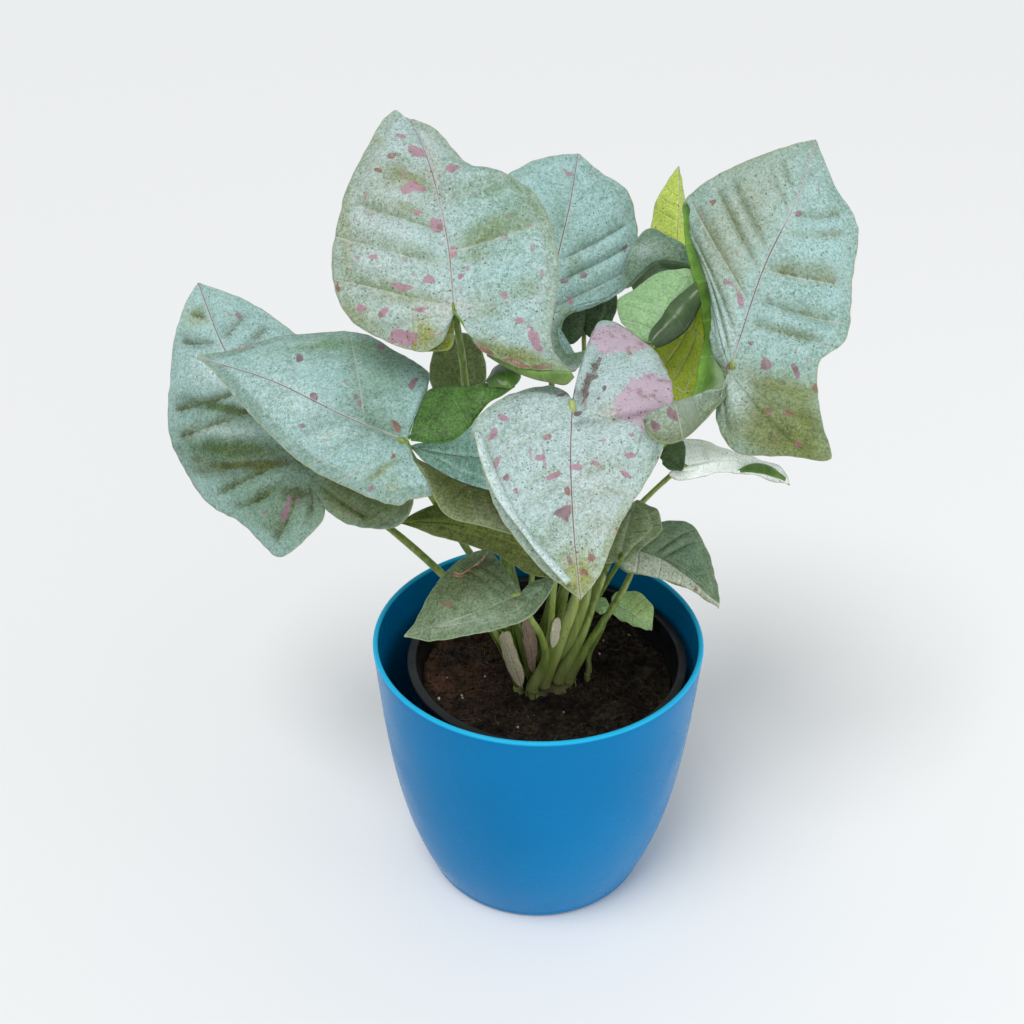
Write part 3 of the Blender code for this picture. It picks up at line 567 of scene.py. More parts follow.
                (-18, -12, 7.3, 1.5, 45, 1), (-11, -11, 2, 1.1, 25, 1), (11, 81, 1.9, 1.5, 65, 1),
                (-27, -7, 2.4, 0.8, -20, 1),
            ],
        },
        "patches": {
            "green": [(-25, -6, 20, 12, -59, 0.5), (-40, 44, 16, 5, -62, 0.4)],
            "gold": [(-8, 95, 6.6, 5.3, -35, 0.45)],
            "seaGreen": [(-27, 33, 26, 15, -40, 0.75), (-25, -8, 20, 12, -59, 0.5)],
            "pale": [(-14, 66, 14.1, 7.2, -40, 0.6), (-24, 38, 17, 2.6, -37, 0.55)],
            # painted shade: the moss strips lie in the troughs of the big folds
            "moss": [(-17, 46, 21, 2.8, -48, 0.95), (-25, 28, 26, 3.8, -39, 0.95)],
            "sageDeep": [(18, -30, 24, 14, -46, 1.3)],
            "loden": [
                (-24, 18, 28, 2.6, -34, 0.9), (-45, 37, 4.9, 1.3, -40, 0.7), (-10, -8, 9, 3, -40, 0.7),
            ],
        },
    },
    "left_front": {
        "base": (-56, -34, 257.5), "faces": (-12, 66), "turn": -70, "tip": (0, 114, -6),
        "rib": [(1, 71, 0), (-1, 32, 1)],
        "left": [
            (-7, 93, -4), (-19, 63, -4), (-28, 27, -4), (-27, -10, -3), (-22, -16, -3), (-17, -22, -3),
            (-14, -22, -3), (-11, -16, -2), (-7, -9, -1), (-3, -3, 0),
        ],
        "right": [
            (13, 98, -4), (31, 78, -3), (43, 52, -3), (38, 16, -2), (29, 9, -1), (16, 4, 1), (5, 1, 1),
        ],
        "detail": "large", "quilt": 1.3, "wave": 0.7,
        "top": "mint", "deep": "greyMint", "shade": 0.7, "strip": 0.9,
        "speckle": 0.6, "flecks": 0.15, "frost": 0.6, "veinShow": 0.5,
        "splashes": {
            "mauve": [
                (16, 65, 3, 1.2, 35, 1), (2, 48, 2.4, 1.8, 15, 1), (9, 31, 1.4, 1.4, -65, 1),
                (6, 27, 2.6, 1.2, 60, 1), (27, 14, 4, 2, 30, 1), (40, 40, 3.3, 1.5, 30, 1),
                (39, 48, 1.3, 1.1, 40, 1), (-13, 44, 1.6, 1.4, -65, 0.8), (-25, 1, 1.3, 1, -65, 0.8),
            ],
            "rust": [(4, 7, 3.9, 0.8, 55, 0.9), (-9, 0, 1.2, 1.1, -70, 0.9)],
            "pink": [(12, 98, 6.1, 1.4, -45, 0.9)],
        },
        "patches": {
            "olive": [(-17, 1, 6.9, 2.3, -30, 0.75)],
            "pale": [(-13, 31, 6.9, 1.7, -50, 0.7), (-5, 56, 21.8, 9, 80, 0.4)],
            "green": [
                (29, 59, 19.7, 4.2, -55, 0.8), (36, 40, 34, 4, -80, 0.5), (25, 31, 16.3, 9.3, 35, 0.45),
            ],
            "seaGreen": [(2, 15, 15, 7, 83, 0.75), (11, 26, 11, 3.3, -44, 0.5)],
            "gold": [(-22, -8, 3.8, 3.7, -60, 0.4)],
        },
        "flaps": [
            # painted shade: the fern tint stands for the shade on this lobe
            {
                "inner": [
                    (1, -1, 1), (14, 3, 2), (25, 5, 3), (30, -3, 5), (33, -11, 6), (36, -17, 8),
                    (38, -24, 8), (42, -29, 8),
                ],
                "outer": [
                    (1, -2, 1), (3, -10, 2), (6, -17, 3), (10, -20, 4), (16, -22, 5), (22, -22, 5),
                    (29, -23, 6), (34, -26, 7), (40, -29, 8),
                ],
                "bulge": 2.5, "face": "top", "tint": "fern", "edgeTint": "fern", "behind": "grassGreen",
                "veins": 4,
                "finish": {"frost": 0, "veinShow": 0.6},
            },
            {
                "inner": [
                    (36, -16, 7), (41, -16, 7), (45, -16, 8), (49, -18, 8), (50, -22, 9), (47, -27, 9),
                ],
                "outer": [
                    (34, -21, 9), (35, -25, 11), (36, -28, 11), (37, -30, 11), (41, -30, 10),
                    (45, -29, 9),
                ],
                "bulge": 3, "face": "under", "tint": "deep", "edgeTint": "grassGreen", "behind": "deep",
                "veins": 2,
                "finish": {"gloss": 0.6},
            },
            # painted shade: the lower lobe is the same pale leaf, tinted loden and olive-grey where it curls
            # down into shade
            {
                "inner": [
                    (-2, -3, 0), (-4, -7, -2), (-3, -13, -5), (-3, -21, -7), (-1, -30, -10),
                    (1, -39, -11), (2, -48, -13),
                ],
                "outer": [
                    (-8, -10, 0), (-12, -18, -1), (-16, -23, -2), (-18, -26, -3), (-20, -30, -5),
                    (-20, -35, -7), (-17, -41, -10), (-14, -49, -12), (-12, -57, -13),
                ],
                "bulge": 2, "face": "top", "tint": "loden", "edgeTint": "oliveGrey", "behind": "olive",
                "veins": 5,
                "finish": {"frost": 0, "veinShow": 0.05, "speckle": 1},
            },
        ],
    },
    "mid_small": {
        "base": (-14, -6, 234), "faces": (0, 50), "turn": -83, "tip": (0, 44, 0),
        "rib": [(-2, 21, 1)],
        "left": [(-7, 34, -1), (-13, 21, -1), (-16, 7, -1), (-10, -3, 0)],
        "right": [(6, 34, -1), (14, 19, -1), (16, 3, -1), (9, -4, 0)],
        "buckle": 0.9, "wave": 1,
        # painted light: the ice tint is paler than the leaf, to make up for the shade it lies in
        "top": "ice", "deep": "seaGreen", "strip": 0.2,
        "speckle": 0.6, "frost": 0.5,
    },
    "front": {
        "base": (12, -32, 275), "faces": (4, 57), "turn": -178, "tip": (0, 84, -6),
        "rib": [(2, 58, 1), (2, 28, 2)],
        "left": [
            (-8, 74, -4), (-18, 51, -4), (-33, 26, -4), (-42, 0, -3), (-41, -29, -16), (-31, -47, -22),
            (-17, -54, -22), (-6, -25, -9),
        ],
        "right": [
            (7, 79, -4), (19, 67, -3), (32, 45, -4), (39, 17, -5), (40, 6, -5), (27, -5, -4),
            (11, -10, -3), (3, -6, -1),
        ],
        "detail": "large", "veins": 11, "quilt": 1.1,
        "top": "silver", "deep": "sageDeep", "under": "deep", "shade": 0.5, "strip": 0.3,
        "speckle": 1, "flecks": 0.9, "frost": 0.9,
        "splashes": {
            "pink": [
                (28, 7, 2.5, 1.4, -10, 1), (32, 14, 2.6, 2.2, 75, 1), (10, 17, 1.8, 1.5, 0, 1),
                (14, 27, 1.7, 0.9, -5, 1), (9, 35, 4.2, 1.2, 25, 1), (0, 31, 2.6, 1.7, -5, 1),
                (23, 40, 1.4, 1, -90, 1), (-19, 34, 2.8, 1.3, -10, 1), (-8, 30, 1.9, 1.3, -5, 1),
                (-22, 17, 1.5, 1.2, 5, 1), (-22, 26, 2.4, 0.8, 0, 1), (31, 27, 2.4, 1.1, 90, 1),
                (27, 34, 1.8, 1.3, 85, 1), (-10, 20, 3.1, 1, 0, 0.8),
            ],
            "mauve": [(6, 51, 3.6, 2.7, 30, 1), (4, 70, 1.8, 1.2, 90, 0.9)],
            "blush": [(-31, -3, 13.5, 8.5, 55, 1.6), (-25, -42, 13, 8, 30, 1.7)],
            "bark": [
                (-8.5, -14, 18, 2.6, 70, 0.68), (-2, 5, 2.6, 1.5, 40, 1), (-12, -4, 6, 1.5, 65, 0.6),
                (3, -4, 5, 1.3, 20, 0.6),
            ],
            "rust": [
                (3, 42, 1.8, 0.9, 80, 1), (-16, 55, 1.3, 1.1, 85, 1), (-1, 73, 2.1, 1.3, -15, 1),
                (-4, 69, 1.4, 1.2, 80, 1),
            ],
        },
        "patches": {
            "rose": [(-18, 5, 6.5, 4, 0, 0.8), (-8, 45, 20.6, 10.3, 90, 0.25)],
            "gold": [(1, 76, 8.5, 7, 90, 1), (-13, 60, 13, 1.7, 70, 0.4)],
            "umber": [(1, -4, 9, 2, 0, 0.4)],
            "green": [(17, 61, 8.1, 5, -55, 0.3)],
        },
        "creases": [(1, 11, -40, 5, 3.0, 1.5), (-2, 5, -14, -30, 2.6, 2.0), (-8, 0, -16, -26, 1.6, 1.4)],
        "flaps": [
            {
                "inner": [(37, 16, 1), (32, 32, 1), (26, 47, 1), (18, 61, 1), (10, 71, 1), (4, 79, 1)],
                "outer": [(40, 15, 3), (38, 28, 4), (32, 45, 4), (23, 59, 4), (15, 71, 4), (6, 81, 2)],
                "bulge": 1.2, "face": "top", "tint": "pale", "edgeTint": "pale", "behind": "grassGreen",
                "veins": 6,
            },
        ],
    },
    "backlit": {
        "base": (81, 40, 263.5), "faces": (25, 40), "turn": -45, "tip": (0, 38, -4),
        "rib": [(2, 20, 0)],
        "left": [(-15, 34, -3), (-27, 20, -4), (-31, 5, -4), (-22, -3, -2), (-9, -4, 0)],
        "right": [(15, 34, -3), (23, 20, -3), (17, 5, -1)],
        "buckle": 0.8,
        "top": "backlit", "deep": "olive", "under": "backlit",
        "speckle": 0.5, "veinShow": 0.9, "grain": 0.4,
    },
    "upright": {
        "base": (65, 88, 281), "faces": (-22, 24), "turn": -8, "tip": (0, 52, -2),
        "rib": [(1, 33, 0), (1, 17, 1)],
        "left": [(-6, 43, 0), (-11, 32, 0), (-12, 17, 0), (-9, 3, 0)],
        "right": [(2, 38, -8), (5, 25, -12), (6, 12, -10), (5, 2, -4)],
        "quilt": 0.3, "buckle": 0.8,
        "top": "limeYellow", "deep": "olive", "under": "backlit", "shade": 0.5,
        "speckle": 0.7, "frost": 0.1, "grain": 0.4,
    },
    "grey_back": {
        "base": (72.5, 66, 296.5), "faces": (6, 44), "turn": -105, "tip": (0, 34, -6),
        "rib": [(5, 16, 1)],
        "left": [(0, 21, -10), (-1, 11, -10), (-4, 5, -2)],
        "right": [(11, 30, -4), (20, 22, -2), (22, 14, 0), (14, 7, 1), (7, 1, 1)],
        "veins": 8, "buckle": 0.9, "wave": 0.8,
        "top": "seaGreen", "deep": "dull", "strip": 0.3,
        "speckle": 1, "frost": 0.6, "veinShow": 0.8,
        "patches": {"silver": [(13, 20, 10, 3.5, 60, 0.5)], "dull": [(8, 12, 8, 3, 40, 0.6)]},
        "flaps": [
            {
                "inner": [(-2, 4, 1), (2, 10, 2), (5, 15, 2), (5, 21, 2), (3, 26, 2), (-1, 34, 1)],
                "outer": [(-3, 4, 1), (-1, 10, 0), (2, 16, 0), (1, 21, 0), (-1, 26, 0), (-4, 33, 0)],
                "bulge": 1, "face": "under", "tint": "deep", "edgeTint": "moss", "behind": "dull",
                "veins": 2,
            },
        ],
    },
    "young_roll": {
        "base": (49.5, 22, 276.5), "faces": (-18, 50), "turn": 12, "tip": (0, 41, -4),
        "rib": [(0, 18, 2)],
        "left": [(-12, 35, -3), (-19, 25, -4), (-25, 16, -5), (-19, 6, -3), (-8, 0, -1)],
        "right": [(6, 36, -8), (8, 28, -10), (6, 13, -8), (3, 1, -3)],
        "veins": 8, "quilt": 0.5, "buckle": 1,
        "top": "fresh", "deep": "grassGreen", "under": "deep", "shade": 0.5,
        "speckle": 0.3, "flecks": 0, "frost": 0.25, "veinShow": 0.8, "grain": 0.5,
        "patches": {"deep": [(7, 16, 11.9, 1.3, 80, 1)]},
        "flaps": [
            {
                "inner": [(7, 32, 4), (4, 26, 4), (1, 18, 5), (0, 10, 5), (-2, 3, 4), (-1, -2, 4)],
                "outer": [(13, 23, 3), (13, 16, 3), (12, 9, 3), (9, 3, 3), (6, -1, 3), (3, -3, 3)],
                "bulge": 2.8, "face": "under", "tint": "moss", "edgeTint": "night", "behind": "deep",
                "veins": 2,
                "finish": {"gloss": 0.6},
            },
        ],
    },
    "back_under": {
        "base": (23, 92, 250), "faces": (0, 4), "turn": 4, "tip": (0, 33, 0),
        "rib": [(0, 17, 0)],
        "left": [(-8, 25, 0), (-14, 12, 0), (-13, -4, 2), (-5, -6, 2)],
        "right": [(9, 27, 0), (15, 16, 0), (12, 4, 2), (6, -3, 2)],
        "buckle": 0.8,
        "top": "deep", "deep": "deep", "under": "greyMint",
        "speckle": 0.5, "flecks": 0, "veinShow": 0.5,
    },
    "right_low": {
        "base": (68, 40, 203.5), "faces": (30, 64), "turn": 116, "tip": (0, 58, -4),
        "rib": [(-6, 28, 2)],
        "left": [(-9, 52, -1), (-11, 37, 1), (-15, 19, 2), (-18, 6, 0), (-14, -7, 1), (-3, -6, 1)],
        "right": [(-2, 47, -4), (-3, 29, -3), (0, 14, -4), (7, 2, -1), (5, -6, 0)],
        "quilt": 0.8, "wave": 0.8,
        # the white tint is the leaf's own pale colour, raised further as painted light against the shade it
        # lies in
        "top": "white", "deep": "mint", "shade": 0.15, "strip": 0,
        "speckle": 0.15, "flecks": 0, "veinShow": 0.15, "grain": 0.12,
        "flaps": [
            {
                "inner": [(-1, -11, 3), (-9, -8, 3), (-13, -5, 3), (-14, -1, 3), (-13, 2, 3)],
                "outer": [(2, -10, 3), (5, -7, 3), (5, -3, 3), (4, 0, 3), (-5, 2, 3)],
                "bulge": 1.2, "face": "top", "tint": "moss", "edgeTint": "deep", "behind": "deep",
                "veins": 2,
                "finish": {"frost": 0, "veinShow": 0.1},
            },
            {
                "inner": [(-1, 29, 1), (-4, 34, 2), (-6, 40, 2), (-5, 46, 2), (-3, 50, 1), (0, 53, 1)],
                "outer": [(0, 30, 1), (1, 35, 3), (1, 41, 3), (2, 46, 3), (2, 50, 2), (2, 53, 1)],
                "bulge": 1, "face": "under", "tint": "grassGreen", "edgeTint": "grassGreen",
                "behind": "white", "veins": 2,
            },
        ],
    },
    "right_lower": {
        "base": (48.5, 14, 171), "faces": (35, 58), "turn": 144, "tip": (0, 47, -8),
        "rib": [(-4, 32, -2), (-5, 16, 0)],
        "left": [(-12, 41, -6), (-24, 30, -3), (-31, 18, -1), (-24, 4, 0), (-14, 0, -1), (-3, -2, -1)],
        "right": [(3, 31, -2), (8, 11, 0), (14, -5, 0), (11, -11, 0), (5, -7, 0)],
        "quilt": 1.7, "wave": 0.7,
        "top": "dull", "deep": "moss", "under": "cream", "shade": 0.3,
        "speckle": 0.9, "frost": 0.15, "veinShow": 1,
        "patches": {"seaGreen": [(-11, 23, 13.5, 9, 20, 0.4)]},
        "flaps": [
            {
                "inner": [
                    (11, -9, 2), (4, -5, 3), (2, 0, 4), (1, 10, 5), (2, 19, 5), (3, 28, 4), (5, 36, 3),
                    (6, 43, 2),
                ],
                "outer": [
                    (12, -9, 2), (15, -4, 3), (13, 5, 4), (10, 15, 4), (8, 23, 4), (7, 31, 3),
                    (7, 38, 2), (7, 44, 2),
                ],
                "bulge": 1.5, "face": "top", "tint": "cream", "edgeTint": "cream", "behind": "cream",
                "veins": 5,
                "splashes": {"rust": [(6, 30, 1.8, 0.7, 80, 0.6), (4, 12, 2, 0.7, 80, 0.6)]},
            },
        ],
    },
    "inner_small": {
        "base": (37, -6, 180), "faces": (8, 50), "turn": 23, "tip": (0, 32, -2),
        "rib": [(-1, 15, 0)],
        "left": [(-7, 22, -1), (-10, 8, -1), (-7, -3, 0)],
        "right": [(10, 30, -1), (15, 21, -2), (9, 11, -1), (5, 2, 0)],
        "veins": 8, "quilt": 0.6, "buckle": 0.8,
        "top": "sageDeep", "deep": "moss", "strip": 0.3,
        "speckle": 1, "frost": 0.2, "veinShow": 0.8,
    },
    "low_left": {
        "base": (-9, -50, 192.5), "faces": (-14, 60), "turn": -119, "tip": (0, 53, -4),
        "rib": [(-2, 36, 0), (-2, 16, 1)],
        "left": [(-6, 43, -3), (-10, 21, -3), (-11, 1, -2), (-4, -11, -1), (2, -16, -1), (4, -8, 0)],
        "right": [(4, 47, -2), (20, 31, -1), (26, 16, -1), (25, 7, -1), (11, 2, -1), (4, 0, 0)],
        "quilt": 1.5, "buckle": 1.4, "wave": 0.5,
        "top": "dull", "deep": "loden", "under": "cream", "shade": 0.5,
        "speckle": 0.4, "frost": 0.05, "veinShow": 1,
        "splashes": {"rust": [(5, 31, 4.5, 1.2, 65, 0.8), (-4, 4, 2.7, 1.1, 15, 0.6)]},
        "patches": {"loden": [(13, 20, 14, 9, -75, 0.6)], "sage": [(-5, 24, 17, 2.2, 80, 0.4)]},
    },
    "low_center": {
        "base": (7, -24, 192.5), "faces": (-6, 48), "turn": -79, "tip": (0, 74, -4),
        "rib": [(5, 50, 0), (3, 24, 1)],
        "left": [(-2, 54, -3), (-3, 30, -3), (-8, 12, -3), (-8, -2, -1), (-2, -5, 0)],
        "right": [(11, 62, -2), (16, 42, -2), (19, 19, -2), (14, 1, -1), (7, -4, 0)],
        "veins": 10, "quilt": 0.8, "wave": 0.7,
        "top": "khaki", "deep": "olive", "under": "olive",
        "speckle": 0.8,
        "patches": {"olive": [(-4, 4, 8.9, 4.2, -75, 0.5)]},
    },
    "inner_back": {
        "base": (-35.5, 34, 249.5), "faces": (-5, 40), "turn": -22, "tip": (0, 24, 0),
        "rib": [(-1, 13, 0)],
        "left": [(-7, 20, 0), (-13, 9, -1), (-11, 0, 0)],
        "right": [(10, 23, -1), (14, 11, -1), (11, -1, -1), (4, -4, 0)],
        "detail": "small", "veins": 8, "buckle": 0.8, "wave": 0.5,
        "top": "olive", "deep": "dull", "under": "olive",
        "speckle": 0.6, "flecks": 0.2, "frost": 0.15, "veinShow": 0.4,
    },
    "seedling_leaf": {
        "base": (36, 10, 145), "faces": (20, 62), "turn": 140, "tip": (0, 23, -2),
        "rib": [(0, 11, 1)],
        "left": [(-10, 18, -1), (-14, 9, -1), (-10, 1, -1), (-4, -2, -1)],
        "right": [(3, 17, -1), (5, 8, -1), (4, 2, -1)],
        "detail": "small", "veins": 8, "quilt": 0.5, "buckle": 0.8, "wave": 0.5,
        "top": "sprout", "deep": "grassGreen", "shade": 0.5, "strip": 0.2,
        "speckle": 0.2, "flecks": 0, "veinShow": 1, "grain": 0.3,
        "patches": {"pale": [(3, 1, 6.7, 1.8, -80, 0.2)], "gold": [(-9, 10, 8.3, 4.3, 25, 0.5)]},
    },
    "seedling_bud": {
        "base": (34.5, 8, 144.5), "faces": (-20, 62), "turn": -111, "tip": (0, 8, -1),
        "rib": [(1, 5, 0)],
        "left": [(-3, 5, -1), (-2, 2, -1)],
        "right": [(5, 6, -1), (5, 2, 0)],
        "detail": "small", "veins": 6, "quilt": 0.2, "buckle": 0.4, "wave": 0.3,
        "top": "sprout", "deep": "green", "strip": 0.2,
        "speckle": 0.2, "flecks": 0, "grain": 0.3,
    },
}
usualSheath = {
    "detail": "small", "puff": 0.1, "veins": 5, "quilt": 0.15, "buckle": 0.5, "wave": 0.3, "waves": 3,
    "under": "dry", "shade": 0.5, "strip": 0.3,
    "speckle": 0.15, "veinShow": 0.3, "grain": 0.2,
}
sheaths = {
    "sheath_cream": {
        "base": (-8, -20.5, 117.5), "faces": (-10, 4), "turn": -17, "tip": (0, 32, 1),
        "rib": [(0, 20, 1)],
        "left": [(-3, 28, 0), (-4, 17, 0), (-3, 5, 0)],
        "right": [(3, 30, 0), (3, 18, 0), (3, 6, 0)],
        "top": "husk", "deep": "dry",
    },
    "sheath_brown": {
        "base": (-2, -15.5, 121.5), "faces": (6, 14), "turn": -9, "tip": (0, 29, 0),
        "rib": [(0, 13, 1)],
        "left": [(-2, 21, 0), (-2, 5, 0)],
        "right": [(4, 27, 0), (4, 14, 0), (2, 6, 0)],
        "top": "huskRose", "deep": "umber",
    },
    "sheath_inner": {
        "base": (6.5, -22, 142), "faces": (20, 14), "turn": 14, "tip": (0, 15, 0),
        "rib": [(0, 7, 0)],
        "left": [(-2, 13, 0), (-2, 4, 0)],
        "right": [(2, 13, 0), (2, 3, 0)],
        "top": "husk", "deep": "cream",
    },
}

# Fine sizes shared by all blades: the sheets and their rib, the lobes, the folds and the strip at the edge
leafMesh = {
    "thickness": 0.5, "rimShare": 0.4, "rimReach": 1.2, "ridge": 1.0, "ribDepth": 0.5, "ribReach": 0.9,
    "longLobe": 0.62, "shortLobe": 0.85, "lobeDepth": 8, "ragged": 0.5, "raggedSize": 4.5,
    "veinBend": 0.063, "veinDrift": 0.45, "joinLine": 5.6, "joinDepth": 0.25, "edgeDrop": 0.55,
    "buckleSize": 21, "ripple": 0.20, "rippleSize": 5, "tintShake": 1.6, "tintShakeSize": 7,
    "ribs": {"large": 1, "middle": 0.5, "small": 0.35},
}
leafDetail = {"large": (144, 34), "middle": (100, 24), "small": (64, 14)}
flapMesh = {"rows": 60, "columns": 12, "unevenness": 0.5, "lumpSize": 7, "mostFromEdge": 4.5, "fromRib": 20.0}
leafMarks = ("speckle", "flecks", "frost", "veinShow", "gloss", "grain")


def smoothCurve(points, count):
    # Catmull-Rom through the points, then even steps along it
    pts = np.array(points, float)
    ends = np.vstack([2 * pts[0] - pts[1], pts, 2 * pts[-1] - pts[-2]])
    t = np.linspace(0, 1, 16, endpoint=False)[:, None]
    fine = []
    for p0, p1, p2, p3 in zip(ends, ends[1:], ends[2:], ends[3:]):
        cubic = 3 * p1 - p0 - 3 * p2 + p3
        fine.append(0.5 * (2 * p1 + (p2 - p0) * t + (2 * p0 - 5 * p1 + 4 * p2 - p3) * t**2 + cubic * t**3))
    fine = np.vstack(fine + [pts[-1:]])
    steps = np.concatenate([[0], np.cumsum(np.linalg.norm(np.diff(fine, axis=0), axis=1))])
    even = np.linspace(0, steps[-1], count + 1)
    return np.stack([np.interp(even, steps, fine[:, axis]) for axis in range(3)], 1)


def bladeAxes(shape):
    yaw, pitch = np.radians(shape["faces"])
    out = np.array([math.sin(yaw) * math.cos(pitch), -math.cos(yaw) * math.cos(pitch), math.sin(pitch)])
    up = np.array([0, 0, 1.0]) - out * out[2]
    up /= np.linalg.norm(up)
    turn = math.radians(shape["turn"])
    along = up * math.cos(turn) + np.cross(up, out) * math.sin(turn)
    return np.cross(along, out), along, out


def onPlant(shape, flat):
    # from the blade's own (across, along, lift) to the plant
    across, along, out = bladeAxes(shape)
    return np.array(shape["base"], float) + flat[:, :1] * across + flat[:, 1:2] * along + flat[:, 2:] * out


def step(low, high, value):
    t = np.clip((value - low) / (high - low), 0, 1)
    return t * t * (3 - 2 * t)


def spotField(spots, x, y):
    # 1 inside each spot, 0.5 at its edge, falling to 0 outside
    field = np.zeros_like(x)
    for cx, cy, long, wide, lean, strength in spots:
        c, s = math.cos(math.radians(lean)), math.sin(math.radians(lean))
        u = ((x - cx) * c + (y - cy) * s) / max(long, 1.3)
        v = ((y - cy) * c - (x - cx) * s) / max(wide, 1.3)
        field = np.maximum(field, strength / (1 + (u * u + v * v) ** 1.5))
    return field


def splashField(splashes, x, y):
    # how far inside a splash each point is, and the tint of the splash nearest to it
    splash = np.zeros(len(x))
    splashTint = np.array(splashTints["pink"])[None, :] * np.ones((len(x), 1))
    for kind, spots in splashes.items():
        field = spotField(spots, x, y)
        splashTint[field > splash] = splashTints[kind]
        splash = np.maximum(splash, field)
    return splash, splashTint


def wander(values, size, seed):
    # smooth noise between -1 and 1 for each point of a line or a sheet
    flat = np.asarray(values, float).reshape(-1, 2) / size
    found = [noise.noise(Vector((x, y, seed))) for x, y in flat]
    return np.array(found).reshape(np.asarray(values).shape[:-1])


def unevenly(phase, pace, seed):
    # a value between -1 and 1 for each vein, eased between veins
    return np.interp(phase, np.arange(30), [math.sin(n * pace + seed) for n in range(30)])


def halfOutline(shape, side, seed, rows, columns):
    # rows run from the rib to the margin, and those of the lobe fan out from the stalk
    rib = smoothCurve([shape["tip"]] + shape["rib"] + [(0, 0, 0)], rows * 4)
    margin = smoothCurve([shape["tip"]] + shape[side] + [(0, 0, 0)], rows)
    lowest = min(point[1] for point in shape["left"] + shape["right"])
    lobeStart = leafMesh["longLobe"] if lowest < -leafMesh["lobeDepth"] else leafMesh["shortLobe"]
    s = (np.arange(rows + 1) / rows)[:, None]
    ragged = leafMesh["ragged"] * np.minimum(1, np.minimum(s, 1 - s) * 12)[:, 0]
    margin[:, 0] += ragged * wander(margin[:, :2], leafMesh["raggedSize"], seed)
    margin[:, 1] += ragged * wander(margin[:, :2], leafMesh["raggedSize"], seed + 5)
    start = rib[np.round(np.minimum(1, s[:, 0] / lobeStart) * rows * 4).astype(int)]
    t = ((np.arange(columns + 1) / columns) ** 1.15)[None, :]
    points = start[:, None] * (1 - t[..., None]) + margin[:, None] * t[..., None]
    width = np.linalg.norm(margin - start, axis=1)[:, None]
    return points, s, t, width, lobeStart


def sideVeins(shape, side, seed, s, t, place):
    # side veins lie at whole numbers: unevenly spaced, and bent towards the tip as they near the edge
    phase = (s + t**1.3 * leafMesh["veinBend"]) * shape["veins"] + (0.35 if side == "right" else 0)
    phase = phase + leafMesh["veinDrift"] * unevenly(phase, 2.7, seed)
    # the folds fade where the veins run close together
    apart = np.linalg.norm(np.gradient(place, axis=0), axis=-1)
    apart = apart / np.maximum(np.gradient(phase, axis=0), 0.001)
    return phase, step(0.3, 0.95, apart / np.median(apart))


def bladeLift(shape, side, seed, place, s, t, width):
    # the blade's swell, its edge strip and rib, its wavy margin, buckles and creases
    reach, fromEdge, joinLine = t * width, (1 - t) * width, leafMesh["joinLine"]
    lift = shape["puff"] * width * np.sin(math.pi * t)
    edge = step(joinLine + 1.2, joinLine - 0.8, fromEdge) * step(0.1, 0.35, t)
    groove = leafMesh["joinDepth"] * np.exp(-((fromEdge - joinLine) ** 2))
    lift -= (groove + leafMesh["edgeDrop"] * edge) * step(0.03, 0.1, s)
    lift -= leafMesh["ribDepth"] * np.exp(-((reach / leafMesh["ribReach"]) ** 2))
    lift += shape["wave"] * t**3 * np.sin(math.tau * (s * shape["waves"] + (0.3 if side == "right" else 0)))
    near = np.minimum(1, reach / 9)
    lift += shape["buckle"] * near * wander(place, leafMesh["buckleSize"], seed)
    lift += leafMesh["ripple"] * np.minimum(1, near * 2) * wander(place, leafMesh["rippleSize"], seed + 9)
    for x1, y1, x2, y2, depth, wide in shape["creases"]:
        line = np.array([x2 - x1, y2 - y1])
        length = np.linalg.norm(line)
        down = np.clip(((place - (x1, y1)) @ line) / length, 0, length)
        away = np.linalg.norm(place - (x1, y1) - down[..., None] * line / length, axis=-1)
        lift -= depth * np.exp(-((away / wide) ** 2)) * np.minimum(1, reach / 4)
    return lift


def halfBlade(shape, side, rows, columns):
    seed = shape["turn"] + (3 if side == "right" else 0)
    points, s, t, width, lobeStart = halfOutline(shape, side, seed, rows, columns)
    place = points[..., :2]
    phase, room = sideVeins(shape, side, seed, s, t, place)
    share = phase % 1
    swell = np.sin(math.pi * share) ** 0.85
    # painted shade: the deep tint gathers above each vein, on the side of the fold that faces down, and in
    # the troughs
    hollow = step(0.42, 0.98, share if abs(shape["turn"]) < 90 else 1 - share)
    inside = step(0.7, 1.8, (1 - t) * width / leafMesh["joinLine"])
    inside = step(0.02, 0.2, t) * inside * step(0.02, 0.12, s) * room
    lift = bladeLift(shape, side, seed, place, s, t, width)
    lift += shape["quilt"] * (swell - 0.6) * inside * (0.72 + 0.55 * unevenly(phase, 1.9, seed))
    points[..., 2] += lift
    drifting = np.clip(0.75 + 0.9 * wander(place, 15, seed + 20), 0, 1.2)
    troughShade = (0.8 * hollow * drifting + 0.25 * (1 - swell)) * inside
    plain = np.ones(phase.shape)
    sign = -1 if side == "left" else 1
    return points, (s * plain, t * plain, phase, width * plain, troughShade, room, sign * plain), lobeStart


